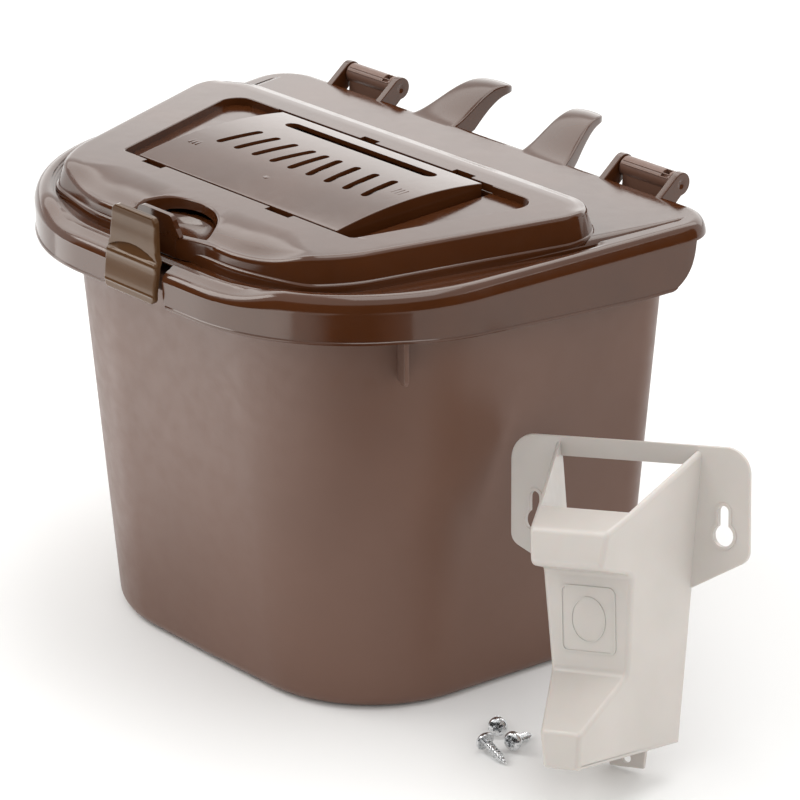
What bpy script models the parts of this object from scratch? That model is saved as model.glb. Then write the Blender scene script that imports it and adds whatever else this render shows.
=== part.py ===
"""Kitchen food-scrap caddy with a latching vented lid, its wall bracket and three fixing screws.

The bucket stands on its base at Z = 0, centred on X = 0, with its latch towards -Y and its hinges
towards +Y. The wall bracket leans on the bucket's right side, and the screws lie in front of both.
Blender 4.5, metres, +Z up.
"""

import math

import bmesh
import bpy
from mathutils import Matrix, Vector

MM = 0.001
GAP = 0.3 * MM                      # clearance between separate pieces that meet

# Heights
SKIRT_BOTTOM = 182.6 * MM           # lower edge of the lid's skirt at the front
SKIRT_DROP = 6.8 * MM               # how much deeper the skirt is at the back
SKIRT_SLOPE = (-70.0 * MM, 50.0 * MM)               # Y where the deepening starts and ends
LID_TOP = 203.0 * MM                # rim and rear plate of the lid
DOME_TOP = 214.7 * MM
BUCKET_TOP = 197.2 * MM             # top of the bucket's rim
RIM_UNDERSIDE = 190.0 * MM
SKIN = 2.2 * MM                     # wall thickness of every moulding

# Plan outlines: front Y, back Y, half width at the front and back, corner radii, bow of the front
RIDGE = (-112.6 * MM, 95.6 * MM, 117.9 * MM, 142.6 * MM, 89.7 * MM, 20.0 * MM, 2.3 * MM)
DOME = (-103.5 * MM, 45.6 * MM, 79.0 * MM, 124.6 * MM, 56.0 * MM, 20.0 * MM, 0.0)
WALL_TOP = (-94.4 * MM, 86.0 * MM, 105.2 * MM, 126.3 * MM, 76.0 * MM, 17.0 * MM, 2.3 * MM)
DOME_LEFT_GROWTH = 0.045            # the dome reaches a little farther on its left side
WALL_BASE = (-77.4 * MM, 77.4 * MM, 93.9 * MM, 115.0 * MM, 60.0 * MM, 15.0 * MM, 2.3 * MM)
BUCKET_RIM_INSET = 5.0 * MM         # bucket rim inside the lid's ridge
BUCKET_RIM_BACK = 88.5 * MM         # kept short at the back, where the lid's skirt swings

# Rear skirt of the lid, cut short so that the lid can swing
REAR_SKIRT_BOTTOM = 196.0 * MM
REAR_SKIRT_START = 61.0 * MM
REAR_SKIRT_ROUND = 17.0 * MM

# Section of the rim and skirt: (inset from the ridge, height), outer skin down and inner skin up
SHOULDER = ((4.5, 202.7), (1.8, 201.6), (0.3, 199.6), (-0.5, 197.2), (-0.1, 196.0))
SHOULDER_INSIDE = ((3.1, 196.0), (3.6, 198.6), (6.2, 200.4))

# Channel round the dome
CHANNEL_FLOOR = 200.2 * MM
CHANNEL_END = 30.0 * MM             # Y where the channel rises into the rear plate
CHANNEL_RAMP = 5.0 * MM
CHANNEL_INSET = 9.5 * MM            # from the ridge to the channel's outer edge
DOME_FLARE = 4.0 * MM               # spread of the dome's wall from top to foot

# Hinges
AXIS_Y = 103.1 * MM
AXIS_Z = 206.4 * MM
CHEEK_INNER = 70.2 * MM
CHEEK_OUTER = 107.5 * MM
CHEEK_THICK = 3.5 * MM
CHEEK_RADIUS = 5.2 * MM
CHEEK_ROOT = ((98.0, 197.0), (90.5, 197.5), (89.0, 202.4))     # (Y, Z) where an ear joins the lid
BARREL_RADIUS = 4.6 * MM
PIN_RADIUS = 2.0 * MM

ARM_PROFILE = (                     # (Y, Z) round the bent arm that carries each barrel
    (84.6, 168.0), (100.5, 186.0), (101.6, 190.0), (103.4, 205.4), (99.4, 205.4), (98.2, 191.5),
    (95.5, 188.4), (85.6, 188.4),
)

# Rear horns of the lid
HORN_BASE_X = 36.2 * MM
HORN_TIP_X = 28.5 * MM
HORN_BASE_HALF = 15.0 * MM
HORN_TIP_HALF = 6.5 * MM
HORN_START = 86.0 * MM
HORN_CREST = 121.0 * MM
HORN_BACK = 132.0 * MM
HORN_RISE = 12.2 * MM
HORN_DROOP = 3.6 * MM
HORN_THICK = (8.5 * MM, 12.0 * MM, 2.2 * MM)        # at the root outside, at the root inside, at the tip

# Vent insert and the recess that it drops into
RECESS_FLOOR = 207.8 * MM
RECESS_FRONT = -59.3 * MM
RECESS_BACK = 26.3 * MM
INSERT_HALF = 64.2 * MM
INSERT_FRONT = -58.7 * MM
INSERT_BACK = 24.8 * MM
INSERT_EDGE = 214.9 * MM
INSERT_CROWN = 3.4 * MM
SLOT_COUNT = 9
SLOT_PITCH = 11.67 * MM
SLOT_WIDTH = 3.5 * MM
SLOT_FRONT = -28.6 * MM
SLOT_BACK = -5.7 * MM
SLOT_LEAN = 3.1 * MM                # how far each slot's rear end leans towards the middle
FINGER_SLOT = (94.0 * MM, 7.0 * MM, 12.9 * MM)      # length, width, Y

# Front latch and the thumb plate behind it
LATCH_TOP = 220.4 * MM
LATCH_SECTIONS = (                  # (distance below the top, half width, Y of the front face)
    (0.0, 10.2, -114.2), (1.2, 12.4, -114.4), (4.0, 13.4, -114.7), (14.4, 15.4, -115.4),
    (19.9, 17.2, -116.6), (23.4, 17.2, -117.2), (33.4, 16.8, -118.2), (35.8, 16.7, -118.3),
    (36.8, 14.5, -118.2),
)
HOOK_PROFILE = (                    # (Y, Z) round the web and hook
    (-116.2, 184.6), (-110.8, 184.6), (-110.8, 187.2), (-112.2, 189.4), (-114.0, 189.4),
    (-116.2, 191.0),
)
LATCH_PIVOT = (0.0, -112.0 * MM, 200.0 * MM)
LATCH_GAP_HALF = 18.4 * MM          # half width of the gap in the lid's skirt
THUMB_Y = -101.4 * MM
THUMB_HALF = 12.0 * MM
THUMB_TOP = 218.0 * MM
THUMB_ROUND = 4.0 * MM
THUMB_FLANK = ((23.0, 201.0), (22.0, 212.5), (15.0, 213.4), (12.4, 214.6))      # (X, Z)
POCKET_CENTRE_Y = -96.0 * MM
POCKET_RADII = (24.0 * MM, 18.0 * MM)
POCKET_FLOOR = 203.4 * MM

# Wall bracket, in its own frame: X across, -Y out from the wall, Z up from the foot
BRACKET_SIDE = (                    # (distance from the wall, height) round the outer skin
    (0.0, 127.0), (40.0, 104.0), (54.0, 97.0), (56.5, 82.0), (37.5, 78.0),
    (35.5, 36.5), (60.5, 15.0), (60.0, 0.0), (0.0, 3.0),
)
BRACKET_HOLLOW = (                  # the same, round the inner skin; open at the top and behind
    (-5.0, 119.7), (2.2, 119.7), (2.2, 140.0), (40.0, 140.0), (40.0, 101.5), (52.2, 95.3),
    (54.2, 84.2), (35.5, 80.2), (33.2, 35.6), (58.4, 13.6), (57.9, 2.4), (-5.0, 5.2),
)
BRACKET_HALF = 23.7 * MM            # half width at the wall, at the foot
BRACKET_WIDEN_UP = 0.0865           # growth of the half width per unit of height
BRACKET_NARROW_OUT = 0.26           # loss of the half width per unit of distance from the wall
FLANGE_TOP = 128.0 * MM
FLANGE_HALF = 55.6 * MM
FLANGE_LOW = 82.0 * MM              # height of an ear's lower corner
FLANGE_ROOT = (20.0 * MM, 64.0 * MM)                # an ear's lower edge runs towards this point
FLANGE_NECK = (26.0 * MM, 67.0 * MM)
LUG_OUTLINE = ((8.0 * MM, -9.4 * MM), (9.6 * MM, 3.0 * MM), (20.0 * MM, 3.2 * MM))
KEYHOLE_X = 44.0 * MM
KEYHOLE_Z = 91.5 * MM
KEYHOLE_RADIUS = 4.6 * MM
KEYHOLE_SLOT = (4.8 * MM, 10.0 * MM)                # width, centre of the head hole to the slot's end
LUG_HOLE_Z = -5.6 * MM
LUG_HOLE_RADIUS = 2.1 * MM
BRACKET_AT = (194.3 * MM, -14.0 * MM, 10.3 * MM)    # foot of the back face at the middle
BRACKET_TURN = math.radians(16.0)
BRACKET_LEAN = math.radians(17.0)
LEAN_AXIS = (math.cos(math.radians(47.0)), math.sin(math.radians(47.0)), 0.0)

# Self-tapping screws
SCREW_LENGTH = 16.0 * MM
SCREW_HEAD_RADIUS = 4.2 * MM
SCREW_HEAD_HIGH = 2.6 * MM
SCREW_CREST = 2.1 * MM
SCREW_ROOT = 1.5 * MM
SCREW_PITCH = 1.7 * MM
SCREW_LIFT = 0.85 * MM              # keeps the rim of a tilted head on the floor
SCREWS = (                          # head's place on the floor, direction of the tip
    ("screw_1", (138.8 * MM, -36.2 * MM), math.radians(135.0)),
    ("screw_2", (144.6 * MM, -49.2 * MM), math.radians(-9.0)),
    ("screw_3", (152.4 * MM, -40.4 * MM), math.radians(104.0)),
)

CORNER_FRONT_STEPS = 12
CORNER_BACK_STEPS = 5
FRONT_STEPS = 4
SIDE_STEPS = 9
BACK_STEPS = 8


# ---------------------------------------------------------------- scene and materials

def clear_scene():
    for obj in list(bpy.data.objects):
        bpy.data.objects.remove(obj)


def collection(name):
    made = bpy.data.collections.new(name)
    bpy.context.scene.collection.children.link(made)
    return made


def material(name, colour, roughness, metallic=0.0):
    made = bpy.data.materials.new(name)
    made.use_nodes = True
    shader = made.node_tree.nodes["Principled BSDF"]
    shader.inputs["Base Color"].default_value = (*colour, 1.0)
    shader.inputs["Roughness"].default_value = roughness
    shader.inputs["Metallic"].default_value = metallic
    return made


# ---------------------------------------------------------------- mesh helpers

def mesh_object(name, bm, where):
    bmesh.ops.recalc_face_normals(bm, faces=bm.faces)
    mesh = bpy.data.meshes.new(name)
    bm.to_mesh(mesh)
    bm.free()
    obj = bpy.data.objects.new(name, mesh)
    where.objects.link(obj)
    return obj


def cutter(obj):
    obj.hide_render = True
    obj.display_type = "WIRE"
    return obj


def boolean(target, other, operation):
    modifier = target.modifiers.new(f"{operation.lower()} {other.name}", "BOOLEAN")
    modifier.operation = operation
    modifier.object = other
    modifier.solver = "EXACT"
    cutter(other)


def finish(obj, surface, angle=35.0):
    obj.data.materials.append(surface)
    obj.data.shade_smooth()
    obj.data.set_sharp_from_angle(angle=math.radians(angle))


def set_origin(obj, point):
    """Puts the object's origin at a point and leaves its mesh where it is."""
    obj.data.transform(Matrix.Translation([-c for c in point]))
    obj.location = point


def box(name, low, high, where):
    bm = bmesh.new()
    bmesh.ops.create_cube(bm, size=1.0)
    size = [b - a for a, b in zip(low, high)]
    middle = [(a + b) / 2 for a, b in zip(low, high)]
    bmesh.ops.scale(bm, vec=size, verts=bm.verts)
    bmesh.ops.translate(bm, vec=middle, verts=bm.verts)
    return mesh_object(name, bm, where)


def rod_along_x(name, low_x, high_x, y, z, radius, where, segments=24):
    bm = bmesh.new()
    bmesh.ops.create_cone(bm, cap_ends=True, segments=segments, radius1=radius, radius2=radius,
                          depth=high_x - low_x)
    bmesh.ops.rotate(bm, matrix=Matrix.Rotation(math.pi / 2, 3, "Y"), verts=bm.verts)
    bmesh.ops.translate(bm, vec=((low_x + high_x) / 2, y, z), verts=bm.verts)
    return mesh_object(name, bm, where)


def prism(name, points, offset, where):
    """Solid from a flat ring of 3D points, pushed along the offset."""
    bm = bmesh.new()
    near = [bm.verts.new(p) for p in points]
    far = [bm.verts.new(Vector(p) + Vector(offset)) for p in points]
    bm.faces.new(near)
    bm.faces.new(far[::-1])
    for i in range(len(points)):
        j = (i + 1) % len(points)
        bm.faces.new((near[i], near[j], far[j], far[i]))
    return mesh_object(name, bm, where)


def loft(name, rings, where):
    """Solid through a list of rings with the same number of points, capped at both ends."""
    bm = bmesh.new()
    rows = [[bm.verts.new(p) for p in ring] for ring in rings]
    count = len(rows[0])
    for upper, lower in zip(rows, rows[1:]):
        for i in range(count):
            j = (i + 1) % count
            bm.faces.new((upper[i], upper[j], lower[j], lower[i]))
    bm.faces.new(rows[0])
    bm.faces.new(rows[-1][::-1])
    return mesh_object(name, bm, where)


# ---------------------------------------------------------------- plan outlines

def corner(before, at, after, radius, steps):
    """Points of the arc that rounds the corner between two straight sides."""
    to_before = (before - at).normalized()
    to_after = (after - at).normalized()
    half = to_before.angle(to_after) / 2
    centre = at + (to_before + to_after).normalized() * (radius / math.sin(half))
    start = at + to_before * (radius / math.tan(half)) - centre
    turn = math.pi - 2 * half
    return [centre + Matrix.Rotation(turn * i / steps, 2) @ start for i in range(steps + 1)]


def between(a, b, steps):
    """Points that divide a straight side, without its two ends."""
    return [a.lerp(b, i / steps) for i in range(1, steps)]


def outline(front, back, half_front, half_back, round_front, round_back, bow):
    """Plan outline, anticlockwise from the front left corner, with the front bowed outwards."""
    marks = [Vector((-half_front, front)), Vector((half_front, front)),
             Vector((half_back, back)), Vector((-half_back, back))]
    radii = (round_front, round_front, round_back, round_back)
    arc_steps = (CORNER_FRONT_STEPS, CORNER_FRONT_STEPS, CORNER_BACK_STEPS, CORNER_BACK_STEPS)
    arcs = []
    for i in range(4):
        arcs.append(corner(marks[i - 1], marks[i], marks[(i + 1) % 4], radii[i], arc_steps[i]))
    points = []
    for i, steps in enumerate((FRONT_STEPS, SIDE_STEPS, BACK_STEPS, SIDE_STEPS)):
        following = arcs[(i + 1) % 4]
        points += arcs[i]
        points += between(arcs[i][-1], following[0], steps)
    for point in points:
        forward = min(1.0, max(0.0, point.y / front))
        across = max(0.0, 1.0 - (point.x / half_front) ** 2)
        point.y -= bow * forward * forward * across
    return points


def inset(plan, distance, back=None):
    """The plan's outline moved inwards by a distance, or to its own back line."""
    front, rear, half_front, half_back, round_front, round_back, bow = plan
    if back is None:
        back = rear - distance
    return outline(front + distance, back, half_front - distance, half_back - distance,
                   max(round_front - distance, 2 * MM), max(round_back - distance, 2 * MM), bow)


def at_height(points, z):
    return [(p.x, p.y, z) for p in points]


def blend_plans(low, high, t):
    return tuple(a + (b - a) * t for a, b in zip(low, high))


# ---------------------------------------------------------------- bucket

def wall_ring(z, distance):
    plan = blend_plans(WALL_BASE, WALL_TOP, z / RIM_UNDERSIDE)
    return at_height(inset(plan, distance), z)


def bucket_rings():
    """Outer skin from the base up, over the rim, and down the inner skin to the floor."""
    rim_outer = inset(RIDGE, BUCKET_RIM_INSET, back=BUCKET_RIM_BACK)
    rings = [wall_ring(0.0, 5.0 * MM), wall_ring(1.5 * MM, 1.6 * MM), wall_ring(5.0 * MM, 0.0)]
    rings += [wall_ring(z * MM, 0.0) for z in (60.0, 125.0, 187.0)]
    rings.append(at_height(rim_outer, RIM_UNDERSIDE))
    rings.append(at_height(rim_outer, BUCKET_TOP))
    top_plan = blend_plans(WALL_BASE, WALL_TOP, BUCKET_TOP / RIM_UNDERSIDE)
    rings.append(at_height(inset(top_plan, SKIN), BUCKET_TOP))
    rings += [wall_ring(z * MM, SKIN) for z in (187.0, 125.0, 60.0, 7.0)]
    rings.append(wall_ring(SKIN, 5.0 * MM + SKIN))
    return rings


def rim_gusset(side, where):
    """Small upright rib that stiffens the rim near a front corner."""
    turn = Matrix.Rotation(side * math.radians(-28.0), 3, "Z")
    bm = bmesh.new()
    bmesh.ops.create_cube(bm, size=1.0)
    bmesh.ops.scale(bm, vec=(12.0 * MM, 2.0 * MM, 33.0 * MM), verts=bm.verts)
    for vert in bm.verts:
        if vert.co.z < 0 and vert.co.x * side > 0:
            vert.co.x -= side * 4.0 * MM
    bmesh.ops.rotate(bm, matrix=turn, verts=bm.verts)
    bmesh.ops.translate(bm, vec=(side * 106.6 * MM, -61.0 * MM, 172.0 * MM), verts=bm.verts)
    return mesh_object(f"rim_gusset_{'right' if side > 0 else 'left'}", bm, where)


def hinge_arm(side, where):
    """Bent arm behind the bucket's rim that carries one hinge barrel."""
    inner = CHEEK_INNER + CHEEK_THICK + 2.0 * MM
    length = CHEEK_OUTER - CHEEK_THICK - 2.0 * MM - inner
    start = inner if side > 0 else -inner - length
    points = [(start, y * MM, z * MM) for y, z in ARM_PROFILE]
    return prism(f"hinge_arm_{side}", points, (length, 0, 0), where)


def hinge_barrel(side, where):
    inner = CHEEK_INNER + CHEEK_THICK + 0.5 * MM
    outer = CHEEK_OUTER - CHEEK_THICK - 0.5 * MM
    low, high = sorted((side * inner, side * outer))
    return rod_along_x(f"hinge_barrel_{side}", low, high, AXIS_Y, AXIS_Z, BARREL_RADIUS, where)


def build_bucket(parts, cutters, surface):
    bucket = loft("bucket", bucket_rings(), parts)
    for side in (-1, 1):
        boolean(bucket, rim_gusset(side, cutters), "UNION")
        boolean(bucket, hinge_arm(side, cutters), "UNION")
        boolean(bucket, hinge_barrel(side, cutters), "UNION")
        middle = side * (CHEEK_INNER + CHEEK_OUTER) / 2
        bore = rod_along_x(f"pin_bore_{side}", middle - 22 * MM, middle + 22 * MM, AXIS_Y, AXIS_Z,
                           PIN_RADIUS + GAP, cutters, 16)
        boolean(bucket, bore, "DIFFERENCE")
    finish(bucket, surface)
    return bucket


# ---------------------------------------------------------------- lid

def channel_height(y):
    """Height of the rim beside the dome: a channel at the front and sides, the plate at the back."""
    rise = (y - CHANNEL_END) / CHANNEL_RAMP
    return CHANNEL_FLOOR + (LID_TOP - CHANNEL_FLOOR) * min(1.0, max(0.0, rise))


def channel_ring(points, drop=0.0):
    return [(p.x, p.y, channel_height(p.y) - drop) for p in points]


def skirt_ring(points):
    """The skirt's lower edge, which runs down a little from the front to the back."""
    start, end = SKIRT_SLOPE
    ring = []
    for p in points:
        slope = min(1.0, max(0.0, (p.y - start) / (end - start)))
        ring.append((p.x, p.y, SKIRT_BOTTOM - SKIRT_DROP * slope))
    return ring


def dome_outline(distance):
    points = inset(DOME, distance)
    for p in points:
        if p.x < 0:
            p.x *= 1.0 + DOME_LEFT_GROWTH
    return points


def lid_rings():
    """Outer skin from the dome's top down to the skirt, then the inner skin back up."""
    rings = [at_height(dome_outline(1.8 * MM), DOME_TOP),
             at_height(dome_outline(0.4 * MM), DOME_TOP - 0.5 * MM),
             at_height(dome_outline(-0.5 * MM), DOME_TOP - 2.0 * MM),
             channel_ring(dome_outline(-DOME_FLARE)),
             channel_ring(inset(RIDGE, CHANNEL_INSET + 0.8 * MM)),
             at_height(inset(RIDGE, CHANNEL_INSET), LID_TOP)]
    rings += [at_height(inset(RIDGE, d * MM), z * MM) for d, z in SHOULDER]
    rings.append(skirt_ring(inset(RIDGE, 0.2 * MM)))
    rings.append(skirt_ring(inset(RIDGE, 2.4 * MM)))
    rings += [at_height(inset(RIDGE, d * MM), z * MM) for d, z in SHOULDER_INSIDE]
    rings.append(at_height(inset(RIDGE, CHANNEL_INSET - 1.2 * MM), LID_TOP - SKIN))
    rings.append(channel_ring(inset(RIDGE, CHANNEL_INSET - 0.6 * MM), SKIN))
    rings.append(channel_ring(dome_outline(-DOME_FLARE + 2.0 * MM), SKIN))
    rings.append(at_height(dome_outline(2.2 * MM), DOME_TOP - 3.0 * MM))
    rings.append(at_height(dome_outline(3.4 * MM), DOME_TOP - SKIN))
    return rings


def rear_skirt_cutter(where):
    """Takes away the skirt below the rear edge, with a large round at each side."""
    low = SKIRT_BOTTOM - SKIRT_DROP - 6.0 * MM
    foot = SKIRT_BOTTOM - SKIRT_DROP - 0.5 * MM
    rise = REAR_SKIRT_BOTTOM - foot
    points = [(-0.16, REAR_SKIRT_START, low)]
    for i in range(9):
        angle = math.pi / 2 * i / 8
        y = REAR_SKIRT_START + REAR_SKIRT_ROUND * math.sin(angle)
        points.append((-0.16, y, foot + rise * (1 - math.cos(angle))))
    points += [(-0.16, 0.12, REAR_SKIRT_BOTTOM), (-0.16, 0.12, low)]
    return prism("rear_skirt_cut", points, (0.32, 0, 0), where)


def recess_outline(distance):
    """Half-open trapezoid with rounded corners, wide at the back, for the vent insert's recess."""
    front = RECESS_FRONT - distance
    back = RECESS_BACK + distance
    marks = [Vector((-74.0 * MM - distance, front)), Vector((74.0 * MM + distance, front)),
             Vector((99.0 * MM + distance, back)), Vector((-99.0 * MM - distance, back))]
    radii = (3.0 * MM, 3.0 * MM, 9.0 * MM, 9.0 * MM)
    points = []
    for i in range(4):
        points += corner(marks[i - 1], marks[i], marks[(i + 1) % 4], radii[i] + distance, 5)
    return points


def pocket_outline(distance, flat_front):
    """Ellipse of the thumb pocket, cut straight behind the thumb plate."""
    rx = POCKET_RADII[0] + distance
    ry = POCKET_RADII[1] + distance
    points = []
    for i in range(32):
        angle = 2 * math.pi * i / 32
        y = POCKET_CENTRE_Y + ry * math.sin(angle)
        points.append(Vector((rx * math.cos(angle), max(y, flat_front))))
    return points


def slab(name, points, low, high, where):
    """Upright prism from a plan outline."""
    return prism(name, at_height(points, low), (0, 0, high - low), where)


def slot_plan(front, back, width, steps=6):
    """Plan of a straight slot with round ends between two points."""
    along = (back - front).normalized()
    across = Vector((along.y, -along.x))
    radius = width / 2
    points = []
    for end, start in ((front, -1), (back, 1)):
        for i in range(steps + 1):
            angle = math.pi * i / steps
            side = -start * radius * math.cos(angle)
            out = start * radius * math.sin(angle)
            points.append(end + across * side + along * out)
    return points


def vent_slot(name, i, low, high, width, where):
    x = (i - (SLOT_COUNT - 1) / 2) * SLOT_PITCH
    lean = 0.0 if abs(x) < MM else SLOT_LEAN * math.copysign(1.0, x)
    front = Vector((x, SLOT_FRONT + width / 2))
    back = Vector((x - lean, SLOT_BACK - width / 2))
    return slab(f"{name}_{i}", slot_plan(front, back, width), low, high, where)


def horn_top(y):
    """Height along a horn: an S-shaped rise to the crest, then a short droop to the tip."""
    if y > HORN_CREST:
        past = (y - HORN_CREST) / (HORN_BACK - HORN_CREST)
        return LID_TOP + HORN_RISE - HORN_DROOP * past * past
    t = (y - HORN_START) / (HORN_CREST - HORN_START)
    return LID_TOP - 0.3 * MM + (HORN_RISE + 0.3 * MM) * (0.5 - 0.5 * math.cos(math.pi * t))


def horn_row(y, side, across):
    """Left to right positions and thicknesses of one cross-section of a horn."""
    s = (y - HORN_START) / (HORN_BACK - HORN_START)
    middle = HORN_BASE_X + (HORN_TIP_X - HORN_BASE_X) * s
    tip_round = math.sqrt(max(0.06, 1 - max(0.0, (s - 0.82) / 0.18) ** 2))
    half = (HORN_BASE_HALF + (HORN_TIP_HALF - HORN_BASE_HALF) * s ** 0.9) * tip_round
    outside, inside, tip = HORN_THICK
    ease = min(1.0, max(0.0, (s - 0.35) / 0.65))
    row = []
    for j in range(across + 1):
        v = 2 * j / across - 1
        root = outside + (inside - outside) * (0.5 - 0.5 * v)
        row.append((side * (middle + v * half), root + (tip - root) * ease))
    return row


def horn(side, where):
    """Tongue that curves up and back from the lid's rear edge and narrows to a round tip."""
    along, across = 12, 4
    rings = []
    for i in range(along + 1):
        y = HORN_START + (HORN_BACK - HORN_START) * (1 - (1 - i / along) ** 1.25)
        top = horn_top(y)
        row = horn_row(y, side, across)
        upper = [(x, y, top) for x, thick in row]
        lower = [(x, y, max(top - thick, BUCKET_TOP + 0.6 * MM)) for x, thick in row]
        rings.append(upper + lower[::-1])
    return loft(f"horn_{side}", rings, where)


def cheek(low_x, where, name):
    """Teardrop ear of the lid that holds one end of a hinge pin."""
    points = []
    for i in range(13):
        angle = math.radians(125.0 - 215.0 * i / 12)
        y = AXIS_Y + CHEEK_RADIUS * math.cos(angle)
        points.append((low_x, y, AXIS_Z + CHEEK_RADIUS * math.sin(angle)))
    points += [(low_x, y * MM, z * MM) for y, z in CHEEK_ROOT]
    return prism(name, points, (CHEEK_THICK, 0, 0), where)


def thumb_plate(where):
    """Upright plate in front of the thumb pocket, with flared flanks and a rounded top."""
    radius = THUMB_ROUND
    right = [(x * MM, z * MM) for x, z in THUMB_FLANK]
    for i in range(5):
        angle = math.pi / 2 * i / 4
        x = THUMB_HALF - radius + radius * math.cos(angle)
        right.append((x, THUMB_TOP - radius + radius * math.sin(angle)))
    points = [(x, THUMB_Y - SKIN / 2, z) for x, z in right]
    points += [(-x, THUMB_Y - SKIN / 2, z) for x, z in reversed(right)]
    return prism("thumb_plate", points, (0, SKIN, 0), where)


def cut_recess(lid, where):
    """The tray that the vent insert lies in, with a slot in its floor below each vent."""
    under = DOME_TOP - 1.0 * MM
    above = DOME_TOP + 9.0 * MM
    tray = slab("recess_tray", recess_outline(SKIN), RECESS_FLOOR - SKIN, under, where)
    boolean(lid, tray, "UNION")
    boolean(lid, slab("recess", recess_outline(0.0), RECESS_FLOOR, above, where), "DIFFERENCE")
    for i in range(SLOT_COUNT):
        slot = vent_slot("floor_slot", i, RECESS_FLOOR - 6 * MM, RECESS_FLOOR + 3 * MM,
                         SLOT_WIDTH + 1.0 * MM, where)
        boolean(lid, slot, "DIFFERENCE")


def cut_pocket(lid, where):
    """The thumb pocket behind the latch, and the plate that the latch is squeezed against."""
    under = DOME_TOP - 1.0 * MM
    above = DOME_TOP + 9.0 * MM
    tray = slab("pocket_tray", pocket_outline(SKIN, THUMB_Y), POCKET_FLOOR - SKIN, under, where)
    boolean(lid, tray, "UNION")
    inside = pocket_outline(0.0, THUMB_Y + SKIN / 2)
    boolean(lid, slab("pocket", inside, POCKET_FLOOR, above, where), "DIFFERENCE")
    boolean(lid, thumb_plate(where), "UNION")


def add_hinge(lid, side, where):
    """Two ears with a pin bore, and the notch in the plate between them."""
    inner = CHEEK_INNER + CHEEK_THICK
    outer = CHEEK_OUTER - CHEEK_THICK
    low, high = sorted((side * inner, side * outer))
    low_corner = (low, 91.0 * MM, 190.0 * MM)
    notch = box(f"hinge_notch_{side}", low_corner, (high, 0.11, LID_TOP + 9 * MM), where)
    boolean(lid, notch, "DIFFERENCE")
    for k, start in enumerate((low - CHEEK_THICK, high)):
        boolean(lid, cheek(start, where, f"cheek_{side}_{k}"), "UNION")
    hole = rod_along_x(f"cheek_bore_{side}", low - 9 * MM, high + 9 * MM, AXIS_Y, AXIS_Z,
                       PIN_RADIUS + GAP, where, 16)
    boolean(lid, hole, "DIFFERENCE")


def build_lid(parts, cutters, surface):
    lid = loft("lid", lid_rings(), parts)
    boolean(lid, rear_skirt_cutter(cutters), "DIFFERENCE")
    cut_recess(lid, cutters)
    cut_pocket(lid, cutters)
    gap_low = (-LATCH_GAP_HALF, -0.13, SKIRT_BOTTOM - 5 * MM)
    gap_high = (LATCH_GAP_HALF, -108.2 * MM, LID_TOP + 3 * MM)
    boolean(lid, box("latch_gap", gap_low, gap_high, cutters), "DIFFERENCE")
    for side in (-1, 1):
        boolean(lid, horn(side, cutters), "UNION")
        add_hinge(lid, side, cutters)
    finish(lid, surface)
    set_origin(lid, (0.0, AXIS_Y, AXIS_Z))
    return lid


def build_pin(side, parts, surface):
    name = f"hinge_pin_{'right' if side > 0 else 'left'}"
    low, high = sorted((side * (CHEEK_INNER + 0.4 * MM), side * (CHEEK_OUTER - 0.4 * MM)))
    pin = rod_along_x(name, low, high, AXIS_Y, AXIS_Z, PIN_RADIUS, parts, 16)
    finish(pin, surface)
    set_origin(pin, (0.0, AXIS_Y, AXIS_Z))
    return pin


# ---------------------------------------------------------------- latch and vent insert

def latch_plate(where):
    """The tab itself: a thin plate whose front bulges outwards at the middle."""
    rings = []
    for below, half, front in LATCH_SECTIONS:
        z = LATCH_TOP - below * MM
        half = half * MM
        front = front * MM
        back = front + 2.4 * MM
        rings.append([(-half, back, z), (-half, front + 0.8 * MM, z), (-half + 1.2 * MM, front, z),
                      (half - 1.2 * MM, front, z), (half, front + 0.8 * MM, z), (half, back, z)])
    return loft("front_latch", rings, where)


def latch_hook(where):
    """Catch behind the latch's lower half. It stops just clear of the bucket's rim."""
    points = [(-11.0 * MM, y * MM, z * MM) for y, z in HOOK_PROFILE]
    return prism("latch_hook", points, (22.0 * MM, 0, 0), where)


def latch_root(where):
    """Thickened root where the latch flexes from the lid's rim."""
    low = (-14.0 * MM, -116.0 * MM, 198.6 * MM)
    return box("latch_root", low, (14.0 * MM, -108.2 * MM - GAP, 201.4 * MM), where)


def build_latch(parts, cutters, surface):
    """Rocking tab: squeezing its upper half back moves the catch below outwards."""
    latch = latch_plate(parts)
    boolean(latch, latch_hook(cutters), "UNION")
    boolean(latch, latch_root(cutters), "UNION")
    finish(latch, surface)
    set_origin(latch, LATCH_PIVOT)
    return latch


def arch_height(y):
    middle = (INSERT_FRONT + INSERT_BACK) / 2
    half = (INSERT_BACK - INSERT_FRONT) / 2
    return INSERT_EDGE + INSERT_CROWN * (1 - ((y - middle) / half) ** 2)


def arch_block(name, half_x, front, back, bottom, drop, where):
    points = [(-half_x, front, bottom)]
    for i in range(13):
        y = front + (back - front) * i / 12
        points.append((-half_x, y, arch_height(y) - drop))
    points.append((-half_x, back, bottom))
    return prism(name, points, (2 * half_x, 0, 0), where)


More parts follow.
